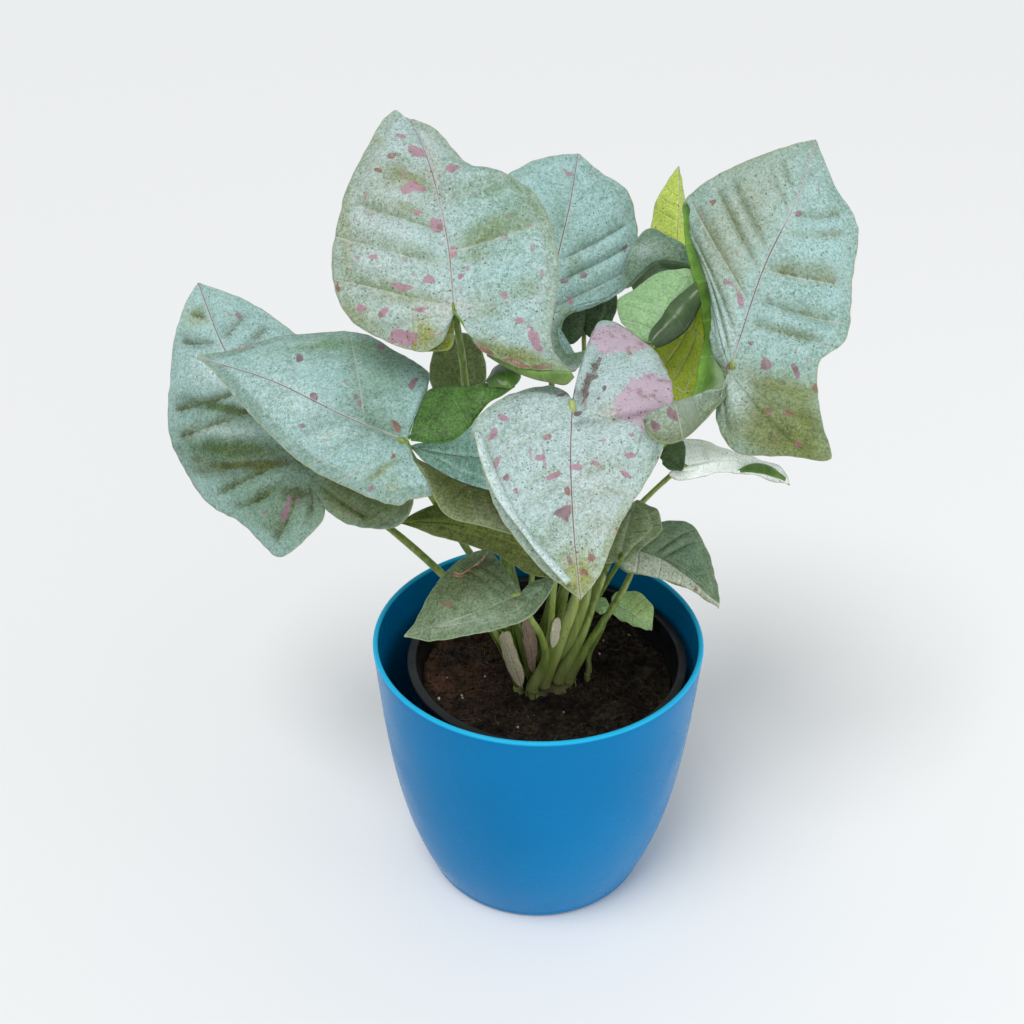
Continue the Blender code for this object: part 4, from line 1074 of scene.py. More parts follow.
def bladeGrid(shape, rows, columns):
    # both halves on one grid: they share the rib and the tip, and all rows of the lobes start at the stalk
    flat, index = [[0, 0, 0]], []
    measures = [(1, 0, shape["veins"], 8, 0, 0, 0)]
    for side in ("left", "right"):
        points, found, lobeStart = halfBlade(shape, side, rows, columns)
        where = np.zeros((rows + 1, columns + 1), int)
        ribRows = int(math.ceil(rows * lobeStart))
        for row in range(rows):
            for column in range(columns + 1):
                if row == 0 and (column or side == "right"):
                    where[row, column] = index[0][0, 0] if side == "right" else where[0, 0]
                elif column == 0 and row >= ribRows:
                    where[row, column] = 0
                elif column == 0 and side == "right":
                    where[row, column] = index[0][row, 0]
                else:
                    where[row, column] = len(flat)
                    flat.append(points[row, column])
                    measures.append([values[row, column] for values in found])
        index.append(where)
    return np.array(flat, float), np.array(measures, float).T, index


def gridFaces(where, flip):
    faces = []
    for row in range(where.shape[0] - 1):
        for column in range(where.shape[1] - 1):
            near, far = where[row, column : column + 2], where[row + 1, column : column + 2]
            corners = [int(v) for v in (near[0], far[0], far[1], near[1])]
            corners = [c for n, c in enumerate(corners) if c not in corners[:n]]
            if len(corners) > 2:
                faces.append(corners[::-1] if flip else corners)
    return faces


def faceUp(flat, faces, cross):
    # turns the faces to the upper side, and gives each point the direction of the faces round it
    if cross[:, 2].sum() < 0:
        faces = [f[::-1] for f in faces]
        cross = -cross
    normal = np.zeros_like(flat)
    for f, n in zip(faces, cross):
        normal[f] += n
    return faces, normal / np.maximum(np.linalg.norm(normal, axis=1), 1e-9)[:, None]


def bladeTint(shape, x, y, troughShade, fromEdge):
    tint = np.array(tints[shape["top"]])[None, :] * np.ones((len(x), 1))
    deep = np.array(tints[shape["deep"]])
    for kind, spots in shape["patches"].items():
        for spot in spots:
            share = np.clip(spotField([spot], x, y) * 1.15, 0, 1)[:, None]
            tint = tint * (1 - share) + np.array(tints[kind]) * share
    # painted shade: the deep tint laid into the troughs and on the down-facing sides of the folds
    amount = (np.clip(troughShade * shape["shade"], 0, 1))[:, None]
    tint = tint * (1 - amount) + deep * amount
    strip = (step(leafMesh["joinLine"] + 0.8, leafMesh["joinLine"] - 1.2, fromEdge) * shape["strip"])[:, None]
    return tint * (1 - strip) + deep * strip


def addMarks(mesh, finish, tint, splashTint, numbers, lines):
    # what the leaf materials read, the same on the upper and the lower sheet
    total = len(lines)
    for key in leafMarks:
        numbers[key] = np.full(total, float(finish[key]))
    for key, values in numbers.items():
        both = np.tile(values, 2).astype(np.float32)
        mesh.attributes.new(key, "FLOAT", "POINT").data.foreach_set("value", both)
    both = np.tile(lines, (2, 1)).astype(np.float32)
    mesh.attributes.new("veinLines", "FLOAT_VECTOR", "POINT").data.foreach_set("vector", both.ravel())
    for key, values in (("tint", tint), ("splashTint", np.tile(splashTint, (2, 1)))):
        colours = np.hstack([values, np.ones((len(values), 1))]).astype(np.float32)
        mesh.attributes.new(key, "FLOAT_COLOR", "POINT").data.foreach_set("color", colours.ravel())


def makeFlap(name, shape, flap, skins):
    # a turned-back or folded part, lofted between two edges and curved across
    rows, columns = flapMesh["rows"], flapMesh["columns"]
    inner, outer = (smoothCurve(flap[edge], rows) for edge in ("inner", "outer"))
    t = (np.arange(columns + 1) / columns)[None, :, None]
    points = inner[:, None] * (1 - t) + outer[:, None] * t
    points[..., 2] += flap["bulge"] * np.sin(math.pi * t[..., 0])
    uneven = flapMesh["unevenness"] * wander(points[..., :2], flapMesh["lumpSize"], 4)
    points[..., 2] += uneven * np.minimum(1, t[..., 0] * 4)
    flat = points.reshape(-1, 3)
    total = len(flat)
    where = np.arange(total).reshape(rows + 1, columns + 1)
    down, over = points[1:, :-1] - points[:-1, :-1], points[:-1, 1:] - points[:-1, :-1]
    faces, normal = faceUp(flat, gridFaces(where, False), np.cross(down, over).reshape(-1, 3))
    allFaces = faces + [[v + total for v in f[::-1]] for f in faces]
    ring = [int(v) for v in (*where[0, :-1], *where[:-1, -1], *where[-1, :0:-1], *where[:0:-1, 0])]
    edges = {(f[k], f[(k + 1) % 4]) for f in faces for k in range(4)}
    for a, b in zip(ring, ring[1:] + ring[:1]):
        a, b = (a, b) if (a, b) in edges else (b, a)
        allFaces.append([b, a, a + total, b + total])
    half = normal * leafMesh["thickness"] / 2
    front, back = (0, 1) if flap["face"] == "top" else (1, 0)
    skinOf = [front] * len(faces) + [back] * (len(allFaces) - len(faces))
    item = addMesh(name, onPlant(shape, np.vstack([flat + half, flat - half])), allFaces, skins, skinOf)
    far = np.tile(t[..., 0], (rows + 1, 1)).reshape(-1)
    tint = np.zeros((2 * total, 3))
    tint[:total] = tints[flap["tint"]]
    tint[total:] = tints[flap["behind"]]
    tint[:total] += (np.array(tints[flap["edgeTint"]]) - tint[:total]) * (far**2)[:, None]
    splash, splashTint = splashField(flap.get("splashes", {}), flat[:, 0], flat[:, 1])
    width = np.repeat(np.linalg.norm(outer - inner, axis=1), columns + 1)
    along = np.repeat(np.arange(rows + 1) / rows, columns + 1)
    numbers = {
        "fromRib": np.full(total, flapMesh["fromRib"]), "veinRoom": np.ones(total), "splash": splash,
        "fromEdge": np.minimum(flapMesh["mostFromEdge"], (1 - far) * width),
    }
    lines = np.stack([far, along * flap["veins"], np.full(total, 3.0)], 1)
    addMarks(item.data, {**shape, **flap.get("finish", {})}, tint, splashTint, numbers, lines)
    return item


def joinParts(name, parts):
    if len(parts) > 1:
        with bpy.context.temp_override(active_object=parts[0], selected_editable_objects=parts):
            bpy.ops.object.join()
    parts[0].name = parts[0].data.name = name
    return parts[0]


def makeBlade(name, shape, skins, slotName, nodeName):
    rows, columns = leafDetail[shape["detail"]]
    flat, measures, index = bladeGrid(shape, rows, columns)
    s, t, phase, width, troughShade, room, side = measures
    total = len(flat)
    faces = gridFaces(index[0], False) + gridFaces(index[1], True)
    first, second, third = (flat[[f[n] for f in faces]] for n in range(3))
    faces, normal = faceUp(flat, faces, np.cross(second - first, third - first))
    ribSize = leafMesh["ribs"][shape["detail"]]
    fromRib, fromEdge = t * width / ribSize, (1 - t) * width
    rim = leafMesh["rimShare"]
    half = leafMesh["thickness"] / 2 * (rim + (1 - rim) * step(0, leafMesh["rimReach"], fromEdge))
    ridge = leafMesh["ridge"] * ribSize * np.exp(-(fromRib**2)) * (0.35 + 0.65 * step(0.1, 0.7, s))
    sheets = np.vstack([flat + normal * half[:, None], flat - normal * (half + ridge)[:, None]])
    allFaces = faces + [[v + total for v in f[::-1]] for f in faces]
    for where, turned in zip(index, (-1, 1)):
        line = [int(v) for v in where[:rows, columns]] + [0]
        allFaces += [[a, b, b + total, a + total][::turned] for a, b in zip(line, line[1:]) if a != b]
    skinOf = [0] * len(faces) + [1] * len(faces) + [0] * (len(allFaces) - 2 * len(faces))
    item = addMesh(name, onPlant(shape, sheets), allFaces, skins, skinOf)
    # tints follow the flat of the blade, with the outlines of the patches a little shaken
    shake, size = leafMesh["tintShake"], leafMesh["tintShakeSize"]
    x = flat[:, 0] + shake * wander(flat[:, :2], size, 1)
    y = flat[:, 1] + shake * wander(flat[:, :2], size, 2)
    under = np.array(tints[shape["under"]])[None, :] * np.ones((total, 1))
    splash, splashTint = splashField(shape["splashes"], x, y)
    numbers = {"fromRib": fromRib, "fromEdge": fromEdge, "veinRoom": room, "splash": splash}
    lines = np.stack([side * t, phase, np.full(total, abs(shape["turn"]) / 7)], 1)
    tint = np.vstack([bladeTint(shape, x, y, troughShade, fromEdge), under])
    addMarks(item.data, shape, tint, splashTint, numbers, lines)
    flaps = [makeFlap(name + "_flap", shape, flap, skins) for flap in shape["flaps"]]
    item = joinParts(name, [item] + flaps)
    finishPiece(item, slotName, nodeName)



# Stalks: a tapered stem swept along each path, with a sheath wing round its lower part
stalkSizes = {
    "sides": 14, "steps": 56, "sink": 3, "unevenness": 0.5,
    "wingRound": 1.62, "wingEnd": 1.06, "wingReach": 0.40, "wingSteps": 32,
}
stalks = {
    "top_left": {"foot": (-3.5, -9), "thick": (5, 3), "pale": 0,
        "via": [(-10, -7, 145), (-20, 16, 188), (-31, 20, 239), (-34, 0, 283)]},
    "top_back": {"foot": (-1, 5), "thick": (4.4, 2.6),
        "via": [(6, 10, 147), (8, 30, 202), (6, 48, 245)]},
    "top_right": {"foot": (7, -5), "thick": (5, 3), "pale": 0.55,
        "via": [(21, -6, 157), (31, 24, 192), (64, 34, 226)]},
    "far_left": {"foot": (-8.5, -12), "thick": (5, 2.8),
        "via": [(-21, -14, 147), (-43, -8, 172), (-68, 6, 189), (-91, 20, 199)]},
    "left_front": {"foot": (-9, -4.5), "thick": (4.4, 2.6),
        "via": [(-19, -1, 154), (-38, 10, 184), (-54, -6, 225)]},
    "mid_small": {"foot": (-9, 2), "thick": (3.4, 2.2), "pale": 0.6,
        "via": [(-4, 4, 151), (-3, 6, 195)]},
    "front": {"foot": (2.5, -12.5), "thick": (5.2, 2.8), "pale": 0.9,
        "via": [(11, -14, 145), (17, -18, 172), (17, -22, 232)]},
    "backlit": {"foot": (14, 3), "thick": (4.2, 2.4), "pale": 0.5,
        "via": [(34, 32, 155), (50, 48, 194)]},
    "upright": {"foot": (13, 9.5), "thick": (3.6, 2.2),
        "via": [(29, 42, 148), (56, 76, 221)]},
    "grey_back": {"foot": (7.5, 11), "thick": (3.6, 2.2),
        "via": [(26, 30, 156), (59, 66, 237), (71, 76, 269)]},
    "young_roll": {"foot": (7, 4), "thick": (3.6, 2.2), "pale": 0.7,
        "via": [(16, 14, 167), (32, 12, 243)]},
    "back_under": {"foot": (2, 9), "thick": (3.6, 2.2), "pale": 0.2,
        "via": [(15, 26, 159), (23, 76, 210)]},
    "right_low": {"foot": (10, -10.5), "thick": (4.4, 2.4), "pale": 0.35,
        "via": [(21, -6, 139), (32, 8, 166), (45, 32, 181)]},
    "right_lower": {"foot": (15, -8.5), "thick": (4.8, 2.6), "pale": 0.15,
        "via": [(25, -8, 136), (40, 2, 158)]},
    "inner_small": {"foot": (15, -2.5), "thick": (3.2, 2),
        "via": [(29, 16, 142)]},
    "low_left": {"foot": (-2.5, -17), "thick": (4, 2.4), "pale": 0.45,
        "via": [(3, -20, 133), (1, -30, 154), (-5, -42, 175)]},
    "low_center": {"foot": (0, -2), "thick": (4, 2.4), "pale": 0.8,
        "via": [(5, -10, 138), (6, -20, 168)]},
    "inner_back": {"foot": (-6.5, 7.5), "thick": (3.4, 2.2),
        "via": [(-9, 12, 145), (-25, 34, 205)]},
    "seedling_leaf": {"foot": (24.5, -3), "thick": (2.6, 1.6),
        "via": [(25, -1, 122), (31, 2, 135)]},
}
strandPath = [(-23, -33, 202.5), (-26, -37, 200.3), (-31, -40, 197.6), (-35, -41.5, 196.3), (-38, -40, 196.3)]


def roundProfile(sides):
    return [(math.cos(math.tau * n / sides), math.sin(math.tau * n / sides)) for n in range(sides)]


def wingProfile(reach=118, points=11):
    # a crescent: full in the middle and thin at both edges, open on one side
    angles = [math.radians(reach * (2 * n / (points - 1) - 1)) for n in range(points)]
    outer = [(math.cos(a), math.sin(a)) for a in angles]
    inner = [0.93 - 0.25 * math.cos(a * 90 / reach) for a in angles]
    return outer + [(r * math.cos(a), r * math.sin(a)) for r, a in reversed(list(zip(inner, angles)))]


def pathCurve(name, places, closed=False):
    data = bpy.data.curves.new(name, "CURVE")
    data.dimensions = "3D"
    line = data.splines.new("POLY")
    line.points.add(len(places) - 1)
    line.use_cyclic_u = closed
    for point, place in zip(line.points, places):
        point.co = (*place, 1)
    item = bpy.data.objects.new(name, data)
    bpy.context.scene.collection.objects.link(item)
    return item


stemInputs = {
    "Profile": "Object", "Skin": "Material", "Foot Radius": "Float", "End Radius": "Float", "Power": "Float",
    "Reach": "Float", "Steps": "Int", "Unevenness": "Float", "Seed": "Float",
}


def stemTree():
    # sweeps a profile along the path, from one radius to the other, with a little unevenness
    tree = bpy.data.node_groups.new("sweptStem", "GeometryNodeTree")
    face = tree.interface
    face.new_socket("Path", in_out="INPUT", socket_type="NodeSocketGeometry")
    for label, kind in stemInputs.items():
        face.new_socket(label, in_out="INPUT", socket_type="NodeSocket" + kind)
    face.new_socket("Stem", in_out="OUTPUT", socket_type="NodeSocketGeometry")
    given = tree.nodes.new("NodeGroupInput").outputs
    cut = put(tree, "GeometryNodeTrimCurve", {"Curve": given["Path"]}, mode="FACTOR")
    tree.links.new(given["Reach"], [s for s in cut.inputs if s.name == "End"][0])
    resampled = {"Curve": cut.outputs[0], "Count": given["Steps"]}
    even = put(tree, "GeometryNodeResampleCurve", resampled, mode="COUNT")
    along = put(tree, "GeometryNodeSplineParameter").outputs["Factor"]
    stored = {"Geometry": even.outputs[0], "Name": "along", "Value": along}
    named = put(tree, "GeometryNodeStoreNamedAttribute", stored, data_type="FLOAT", domain="POINT")
    curved = put(tree, "ShaderNodeMath", {0: along, 1: given["Power"]}, operation="POWER").outputs[0]
    tapered = {"Value": curved, "To Min": given["Foot Radius"], "To Max": given["End Radius"]}
    radius = put(tree, "ShaderNodeMapRange", tapered)
    aimed = put(tree, "GeometryNodeSetCurveNormal", {"Curve": named.outputs[0]}, mode="Z_UP")
    profile = put(tree, "GeometryNodeObjectInfo", {"Object": given["Profile"]}).outputs["Geometry"]
    sweep = {"Curve": aimed.outputs[0], "Profile Curve": profile, "Scale": radius.outputs[0]}
    swept = put(tree, "GeometryNodeCurveToMesh", {**sweep, "Fill Caps": True})
    place = put(tree, "GeometryNodeInputPosition").outputs[0]
    grainy = {"Vector": place, "W": given["Seed"], "Scale": 90.0, "Detail": 2.0}
    seeded = put(tree, "ShaderNodeTexNoise", grainy, noise_dimensions="4D").outputs["Fac"]
    amount = calc(tree, calc(tree, seeded, 0.5, "SUBTRACT"), given["Unevenness"], "MULTIPLY")
    normal = put(tree, "GeometryNodeInputNormal").outputs[0]
    offset = put(tree, "ShaderNodeVectorMath", {0: normal, "Scale": amount}, operation="SCALE").outputs[0]
    moved = put(tree, "GeometryNodeSetPosition", {"Geometry": swept.outputs[0], "Offset": offset})
    smooth = put(tree, "GeometryNodeSetShadeSmooth", {"Geometry": moved.outputs[0]})
    real = put(tree, "GeometryNodeRealizeInstances", {"Geometry": smooth.outputs[0]})
    skinned = put(tree, "GeometryNodeSetMaterial", {"Geometry": real.outputs[0], "Material": given["Skin"]})
    tree.links.new(skinned.outputs[0], tree.nodes.new("NodeGroupOutput").inputs[0])
    return tree


def runTree(item, tree, name, **values):
    # sets the named inputs by identifier, then keeps the result as a plain mesh
    modifier = item.modifiers.new("nodes", "NODES")
    modifier.node_group = tree
    for socket in tree.interface.items_tree:
        key = socket.name.replace(" ", "")
        if socket.in_out == "INPUT" and key in values:
            modifier[socket.identifier] = values[key]
    bpy.context.view_layer.update()
    graph = bpy.context.evaluated_depsgraph_get()
    mesh = bpy.data.meshes.new_from_object(item.evaluated_get(graph), depsgraph=graph)
    mesh.name = name
    item.modifiers.remove(modifier)
    return mesh


def joinMeshes(name, meshes):
    parts = []
    for mesh in meshes:
        part = bpy.data.objects.new(name, mesh)
        bpy.context.scene.collection.objects.link(part)
        parts.append(part)
    return joinParts(name, parts)


def stalkPath(shape, stalk):
    foot = np.array((*stalk["foot"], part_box("crown")[1].z / mm - stalkSizes["sink"]))
    across, along, out = bladeAxes(shape)
    base = np.array(shape["base"], float)
    behind = base - out * (stalk["thick"][1] / 2 + 0.3)
    into = base + along * 4 - out * 1.0
    start = [foot, foot + (0, 0, stalkSizes["sink"] + 4)]
    return smoothCurve(start + [np.array(p, float) for p in stalk["via"]] + [behind, into], 90) * mm


def makeStalks(skin):
    tree = stemTree()
    ring = pathCurve("stemRing", [(x, y, 0) for x, y in roundProfile(stalkSizes["sides"])], True)
    crescent = pathCurve("wingRing", [(x, y, 0) for x, y in wingProfile()], True)
    for number, (name, stalk) in enumerate(stalks.items()):
        path = pathCurve("path_" + name, stalkPath(leaves[name], stalk))
        low, high = (size / 2 * mm for size in stalk["thick"])
        shared = {"Skin": skin, "Seed": float(number), "Unevenness": stalkSizes["unevenness"] * mm}
        stemSizes = {"FootRadius": low, "EndRadius": high, "Power": 0.7, "Reach": 1.0}
        stem = runTree(path, tree, "stem", Profile=ring, Steps=stalkSizes["steps"], **stemSizes, **shared)
        low, high = low * stalkSizes["wingRound"], high * stalkSizes["wingEnd"]
        wingSizes = {"FootRadius": low, "EndRadius": high, "Power": 1.4, "Reach": stalkSizes["wingReach"]}
        wingSizes["Steps"] = stalkSizes["wingSteps"]
        wing = runTree(path, tree, "wing", Profile=crescent, **wingSizes, **shared)
        item = joinMeshes("stalk_" + name, [stem, wing])
        pale = item.data.attributes.new("pale", "FLOAT", "POINT").data
        pale.foreach_set("value", [stalk.get("pale", 0.25)] * len(pale))
        finishPiece(item, "stalk", "stalk_" + name)
        bpy.data.objects.remove(path)
    strandLine = pathCurve("strandLine", smoothCurve(strandPath, 40) * mm)
    strandSizes = {"FootRadius": 0.35 * mm, "EndRadius": 0.95 * mm, "Unevenness": 0.9 * mm, "Power": 0.5}
    dried = runTree(strandLine, tree, "dried_strand", Profile=crescent, Reach=1.0, Steps=40, Skin=drySkin(),
                    Seed=3.0, **strandSizes)
    item = joinMeshes("dried_strand", [dried])
    finishPiece(item, "strand", "dried_strand")
    for helper in (strandLine, ring, crescent):
        bpy.data.objects.remove(helper)
    bpy.data.node_groups.remove(tree)


stalkTints = {
    "green": ((0.070, 0.130, 0.014), (0.20, 0.285, 0.045)), "paler": ((0.25, 0.34, 0.07), (0.46, 0.53, 0.19)),
    "streak": (0.26, 0.32, 0.06), "foot": (0.26, 0.27, 0.10), "speck": (0.10, 0.07, 0.03),
    "strand": ((0.22, 0.12, 0.07), (0.50, 0.36, 0.24)),
}


def stalkSkin():
    skin, tree, shader = newSkin("stalkSkin", 0.4, Specular_IOR_Level=0.45)
    streaky = objectPlace(tree, (1, 1, 0.08))
    place = objectPlace(tree)
    colour = blend(tree, ease(tree, cloud(tree, streaky, 1.2, 4, 0.6), 0.35, 0.7), *stalkTints["green"])
    paler = blend(tree, ease(tree, cloud(tree, streaky, 2.4, 3, 0.6), 0.35, 0.65), *stalkTints["paler"])
    colour = blend(tree, attribute(tree, "pale"), colour, paler)
    streaks = ease(tree, cloud(tree, streaky, 6, 2), 0.45, 0.72, 0, 0.6)
    colour = blend(tree, streaks, colour, stalkTints["streak"])
    height = put(tree, "ShaderNodeSeparateXYZ", {"Vector": place}).outputs["Z"]
    foot = ease(tree, height, 0.135, 0.112)
    colour = blend(tree, calc(tree, foot, 0.6, "MULTIPLY"), colour, stalkTints["foot"])
    colour = blend(tree, dots(tree, place, 2.2, 0.25, 0.12), colour, stalkTints["speck"])
    tree.links.new(colour, shader.inputs["Base Color"])
    bump(tree, shader, cloud(tree, streaky, 0.7, 3), 0.35, 0.25)
    return skin


def drySkin():
    skin, tree, shader = newSkin("driedStrand", 0.8)
    place = objectPlace(tree)
    colour = blend(tree, ease(tree, cloud(tree, place, 1.5, 4), 0.35, 0.65), *stalkTints["strand"])
    tree.links.new(colour, shader.inputs["Base Color"])
    bump(tree, shader, cloud(tree, place, 0.6, 4), 0.6, 0.3)
    return skin


# Planter and nursery pot: turned shells with fine rims
planterSizes = {
    "rim": 79.2, "height": 134, "taper": 10, "belly": 14.5, "power": 3.6, "wall": 2.5, "corner": 4,
    "steps": 160,
}
nurserySizes = {
    "centre": (4.5, 2.0), "rim": 68, "base": 43, "height": 120, "floor": 2.85, "wall": 1.5, "lip": 3,
    "lipDepth": 4, "steps": 128,
}
potTints = {
    "blue": ((0.0, 0.172, 0.415), (0.0, 0.198, 0.47)), "blueRim": (0.02, 0.46, 0.76),
    "scuff": (0.10, 0.34, 0.60), "dust": (0.075, 0.042, 0.026),
    "black": ((0.004, 0.005, 0.006), (0.012, 0.014, 0.016)),
}


def ringFaces(rings, steps):
    # faces between each ring of points and the next, where a ring may also be one point on the axis
    faces = []
    for lower, upper in zip(rings, rings[1:]):
        for n in range(steps):
            m = (n + 1) % steps
            corners = [ring[k % len(ring)] for ring, k in ((lower, n), (lower, m), (upper, m), (upper, n))]
            faces.append([c for k, c in enumerate(corners) if c not in corners[:k]])
    return faces


def turned(name, profile, steps, skin, centre=(0, 0)):
    # a closed turned shell: the profile starts and ends on the axis
    places, rings = [], []
    for radius, height in profile:
        if radius < 1e-6:
            rings.append([len(places)])
            places.append((centre[0], centre[1], height))
            continue
        rings.append(list(range(len(places), len(places) + steps)))
        for n in range(steps):
            a = math.tau * n / steps
            places.append((centre[0] + radius * math.cos(a), centre[1] + radius * math.sin(a), height))
    return addMesh(name, places, ringFaces(rings, steps), [skin])


def arc(centreRadius, centreHeight, radius, start, end, points):
    angles = [math.radians(start + (end - start) * n / (points - 1)) for n in range(points)]
    return [(centreRadius + radius * math.cos(a), centreHeight + radius * math.sin(a)) for a in angles]


def planterRadius(height):
    size = planterSizes
    below = 1 - height / size["height"]
    return size["rim"] - size["taper"] * below - size["belly"] * below ** size["power"]


def makePlanter():
    size = planterSizes
    wall, corner = size["wall"], size["corner"]
    shares = [(n / 40) ** 1.3 for n in range(1, 40)]
    heights = [corner + (size["height"] - corner - wall / 2) * share for share in shares]
    outer = [(planterRadius(height), height) for height in heights]
    inner = [(radius - wall, height) for radius, height in outer]
    middle = planterRadius(corner) - corner
    foot = arc(middle, corner, corner, 0, -90, 7)
    inside = arc(middle, corner, corner - wall, -90, 0, 5)
    rim = arc(size["rim"] - wall / 2, size["height"] - wall / 2, wall / 2, 180, 0, 13)
    profile = [(0, 0)] + foot[::-1] + outer + rim[::-1] + inner[::-1] + inside[::-1] + [(0, wall)]
    item = turned("planter", profile, size["steps"], planterSkin())
    finishPiece(item, "planter", "planter")


def planterSkin():
    skin, tree, shader = newSkin("bluePlastic", 0.28, Specular_IOR_Level=0.08)
    place = objectPlace(tree)
    colour = blend(tree, ease(tree, cloud(tree, place, 60, 2), 0.3, 0.7), *potTints["blue"])
    height = put(tree, "ShaderNodeSeparateXYZ", {"Vector": place}).outputs["Z"]
    # painted highlight: the top of the rim is lighter
    colour = blend(tree, ease(tree, height, 0.1322, 0.1334, 0.0, 0.9), colour, potTints["blueRim"])
    scuffs = dots(tree, place, 9, 0.05, 0.10)
    colour = blend(tree, calc(tree, scuffs, 0.4, "MULTIPLY"), colour, potTints["scuff"])
    tree.links.new(colour, shader.inputs["Base Color"])
    rough = ease(tree, cloud(tree, place, 16, 4, 0.6), 0.35, 0.7, 0.20, 0.34)
    tree.links.new(rough, shader.inputs["Roughness"])
    bump(tree, shader, cloud(tree, objectPlace(tree, (1, 1, 0.25)), 26, 2), 0.12, 0.6)
    return skin


def makeNurseryPot():
    size = nurserySizes
    top, wall, floor = size["height"], size["wall"], size["floor"]
    wallTop = size["rim"] - size["lip"]
    lean = wallTop - size["base"]
    shares = [n / 24 for n in range(25)]
    outer = [(size["base"] + lean * u, floor + (top - 2 * wall - floor) * u) for u in shares]
    rise = top - 1.5 * wall - floor
    inner = [(size["base"] - wall + lean * u, floor + wall + rise * u) for u in shares[:-1]]
    under = [(size["rim"] - wall / 2, top - wall), (size["rim"] - wall / 2, top - size["lipDepth"])]
    lip = [(size["rim"], top - size["lipDepth"])] + arc(size["rim"] - 0.6, top - 0.6, 0.6, 0, 90, 5)
    inLip = arc(wallTop - wall + 1, top - 1, 1, 90, 180, 5)
    profile = [(0, floor)] + outer + under + lip + inLip + inner[::-1] + [(0, floor + wall)]
    item = turned("nursery_pot", profile, size["steps"], nurserySkin(), size["centre"])
    finishPiece(item, "nursery_pot", "nursery_pot")


def nurserySkin():
    skin, tree, shader = newSkin("blackPlastic", 0.36, Specular_IOR_Level=0.35)
    place = objectPlace(tree)
    sideways, _, height = put(tree, "ShaderNodeSeparateXYZ", {"Vector": place}).outputs
    # dust near the soil line, with painted light: the brown is strongest on the left inner wall, where the
    # light falls
    dust = ease(tree, cloud(tree, place, 7, 5, 0.7), 0.42, 0.68)
    dust = calc(tree, dust, ease(tree, height, 0.119, 0.108), "MULTIPLY")
    colour = blend(tree, ease(tree, cloud(tree, place, 20, 3), 0.3, 0.7), *potTints["black"])
    dust = calc(tree, dust, ease(tree, sideways, 0.02, -0.05, 0.15, 1.0), "MULTIPLY")
    colour = blend(tree, calc(tree, dust, 0.85, "MULTIPLY"), colour, potTints["dust"])
    tree.links.new(colour, shader.inputs["Base Color"])
    tree.links.new(ease(tree, cloud(tree, place, 5, 4), 0.3, 0.7, 0.32, 0.6), shader.inputs["Roughness"])
    bump(tree, shader, cloud(tree, place, 3, 3), 0.15, 0.3)
    return skin


# Soil: an uneven bed, with crumbs, fibres and a few pale bits scattered over it
soilSizes = {"height": 107, "swell": 0.9, "ripple": 0.6, "mound": 24, "rings": 64, "steps": 168, "gap": 0.4}
soilBits = {
    "soil_crumbs": {"count": 2200, "small": 0.4, "big": 2.3, "seed": 11, "kind": "crumb"},
    "soil_grains": {"count": 4000, "small": 0.25, "big": 0.65, "seed": 5, "kind": "grain"},
    "soil_fibres": {"count": 230, "small": 1.2, "big": 6.5, "seed": 23, "kind": "fibre"},
    "soil_pale_bits": {"count": 46, "small": 0.35, "big": 0.95, "seed": 31, "kind": "crumb"},
}
bitArea = {"inner": 14, "outer": 59.5, "rings": 20, "steps": 72}
bitInputs = {
    "Bit": "Object", "Skin": "Material", "Density": "Float", "Small": "Float", "Big": "Float",
    "Flat": "Float", "Seed": "Int",
}
crownSizes = {"centre": (3.5, -3), "radius": 17.5, "bottom": 106, "top": 113.5, "rings": 20, "steps": 72}


def groundHeight(x, y):
    swell = soilSizes["swell"] * math.sin(x / 9 + 1) * math.cos(y / 11)
    ripple = soilSizes["ripple"] * math.sin(x / 4.3 + y / 6.1)
    away = math.hypot(x - crownSizes["centre"][0], y - crownSizes["centre"][1])
    near = math.exp(-((away / soilSizes["mound"]) ** 4))
    return soilSizes["height"] + (swell + ripple) * (1 - near) + 2.1 * near


soilLumps = ((2.1, 9, 2), (1.3, 4, 8), (0.7, 2, 5))


def lumps(x, y):
    return sum(share * noise.noise(Vector((x / size, y / size, seed))) for share, size, seed in soilLumps)


def makeSoil(skin):
    size = nurserySizes
    wallTop = size["rim"] - size["lip"]
    share = (soilSizes["height"] - size["floor"]) / (size["height"] - size["floor"])
    reach = size["base"] + (wallTop - size["base"]) * share - size["wall"] - soilSizes["gap"]
    cx, cy = size["centre"]
    places, rings = [], []
    low = size["floor"] + size["wall"] + soilSizes["gap"]
    lowReach = size["base"] - size["wall"] - 0.6
    for radius, level in ((0, low), (lowReach, low), (reach, soilSizes["height"] - 3)):
        ring = []
        for n in range(soilSizes["steps"] if radius else 1):
            a = math.tau * n / soilSizes["steps"]
            ring.append(len(places))
            places.append((cx + radius * math.cos(a), cy + radius * math.sin(a), level))
        rings.append(ring)
    for k in range(soilSizes["rings"] + 1):
        radius = reach * (1 - k / soilSizes["rings"])
        ring = []
        for n in range(soilSizes["steps"] if radius > 1e-6 else 1):
            a = math.tau * n / soilSizes["steps"]
            x, y = cx + radius * math.cos(a), cy + radius * math.sin(a)
            ring.append(len(places))
            places.append((x, y, groundHeight(x, y) + lumps(x, y)))
        rings.append(ring)
    item = addMesh("soil", places, ringFaces(rings, soilSizes["steps"]), [skin])
    finishPiece(item, "soil", "soil")


def crumbMesh(cuts):
    bpy.ops.mesh.primitive_ico_sphere_add(subdivisions=cuts, radius=mm)
    item = bpy.context.object
    for vert in item.data.vertices:
        vert.co *= 0.8 + 0.55 * noise.noise(vert.co * 900)
        vert.co.z *= 0.75
    return item


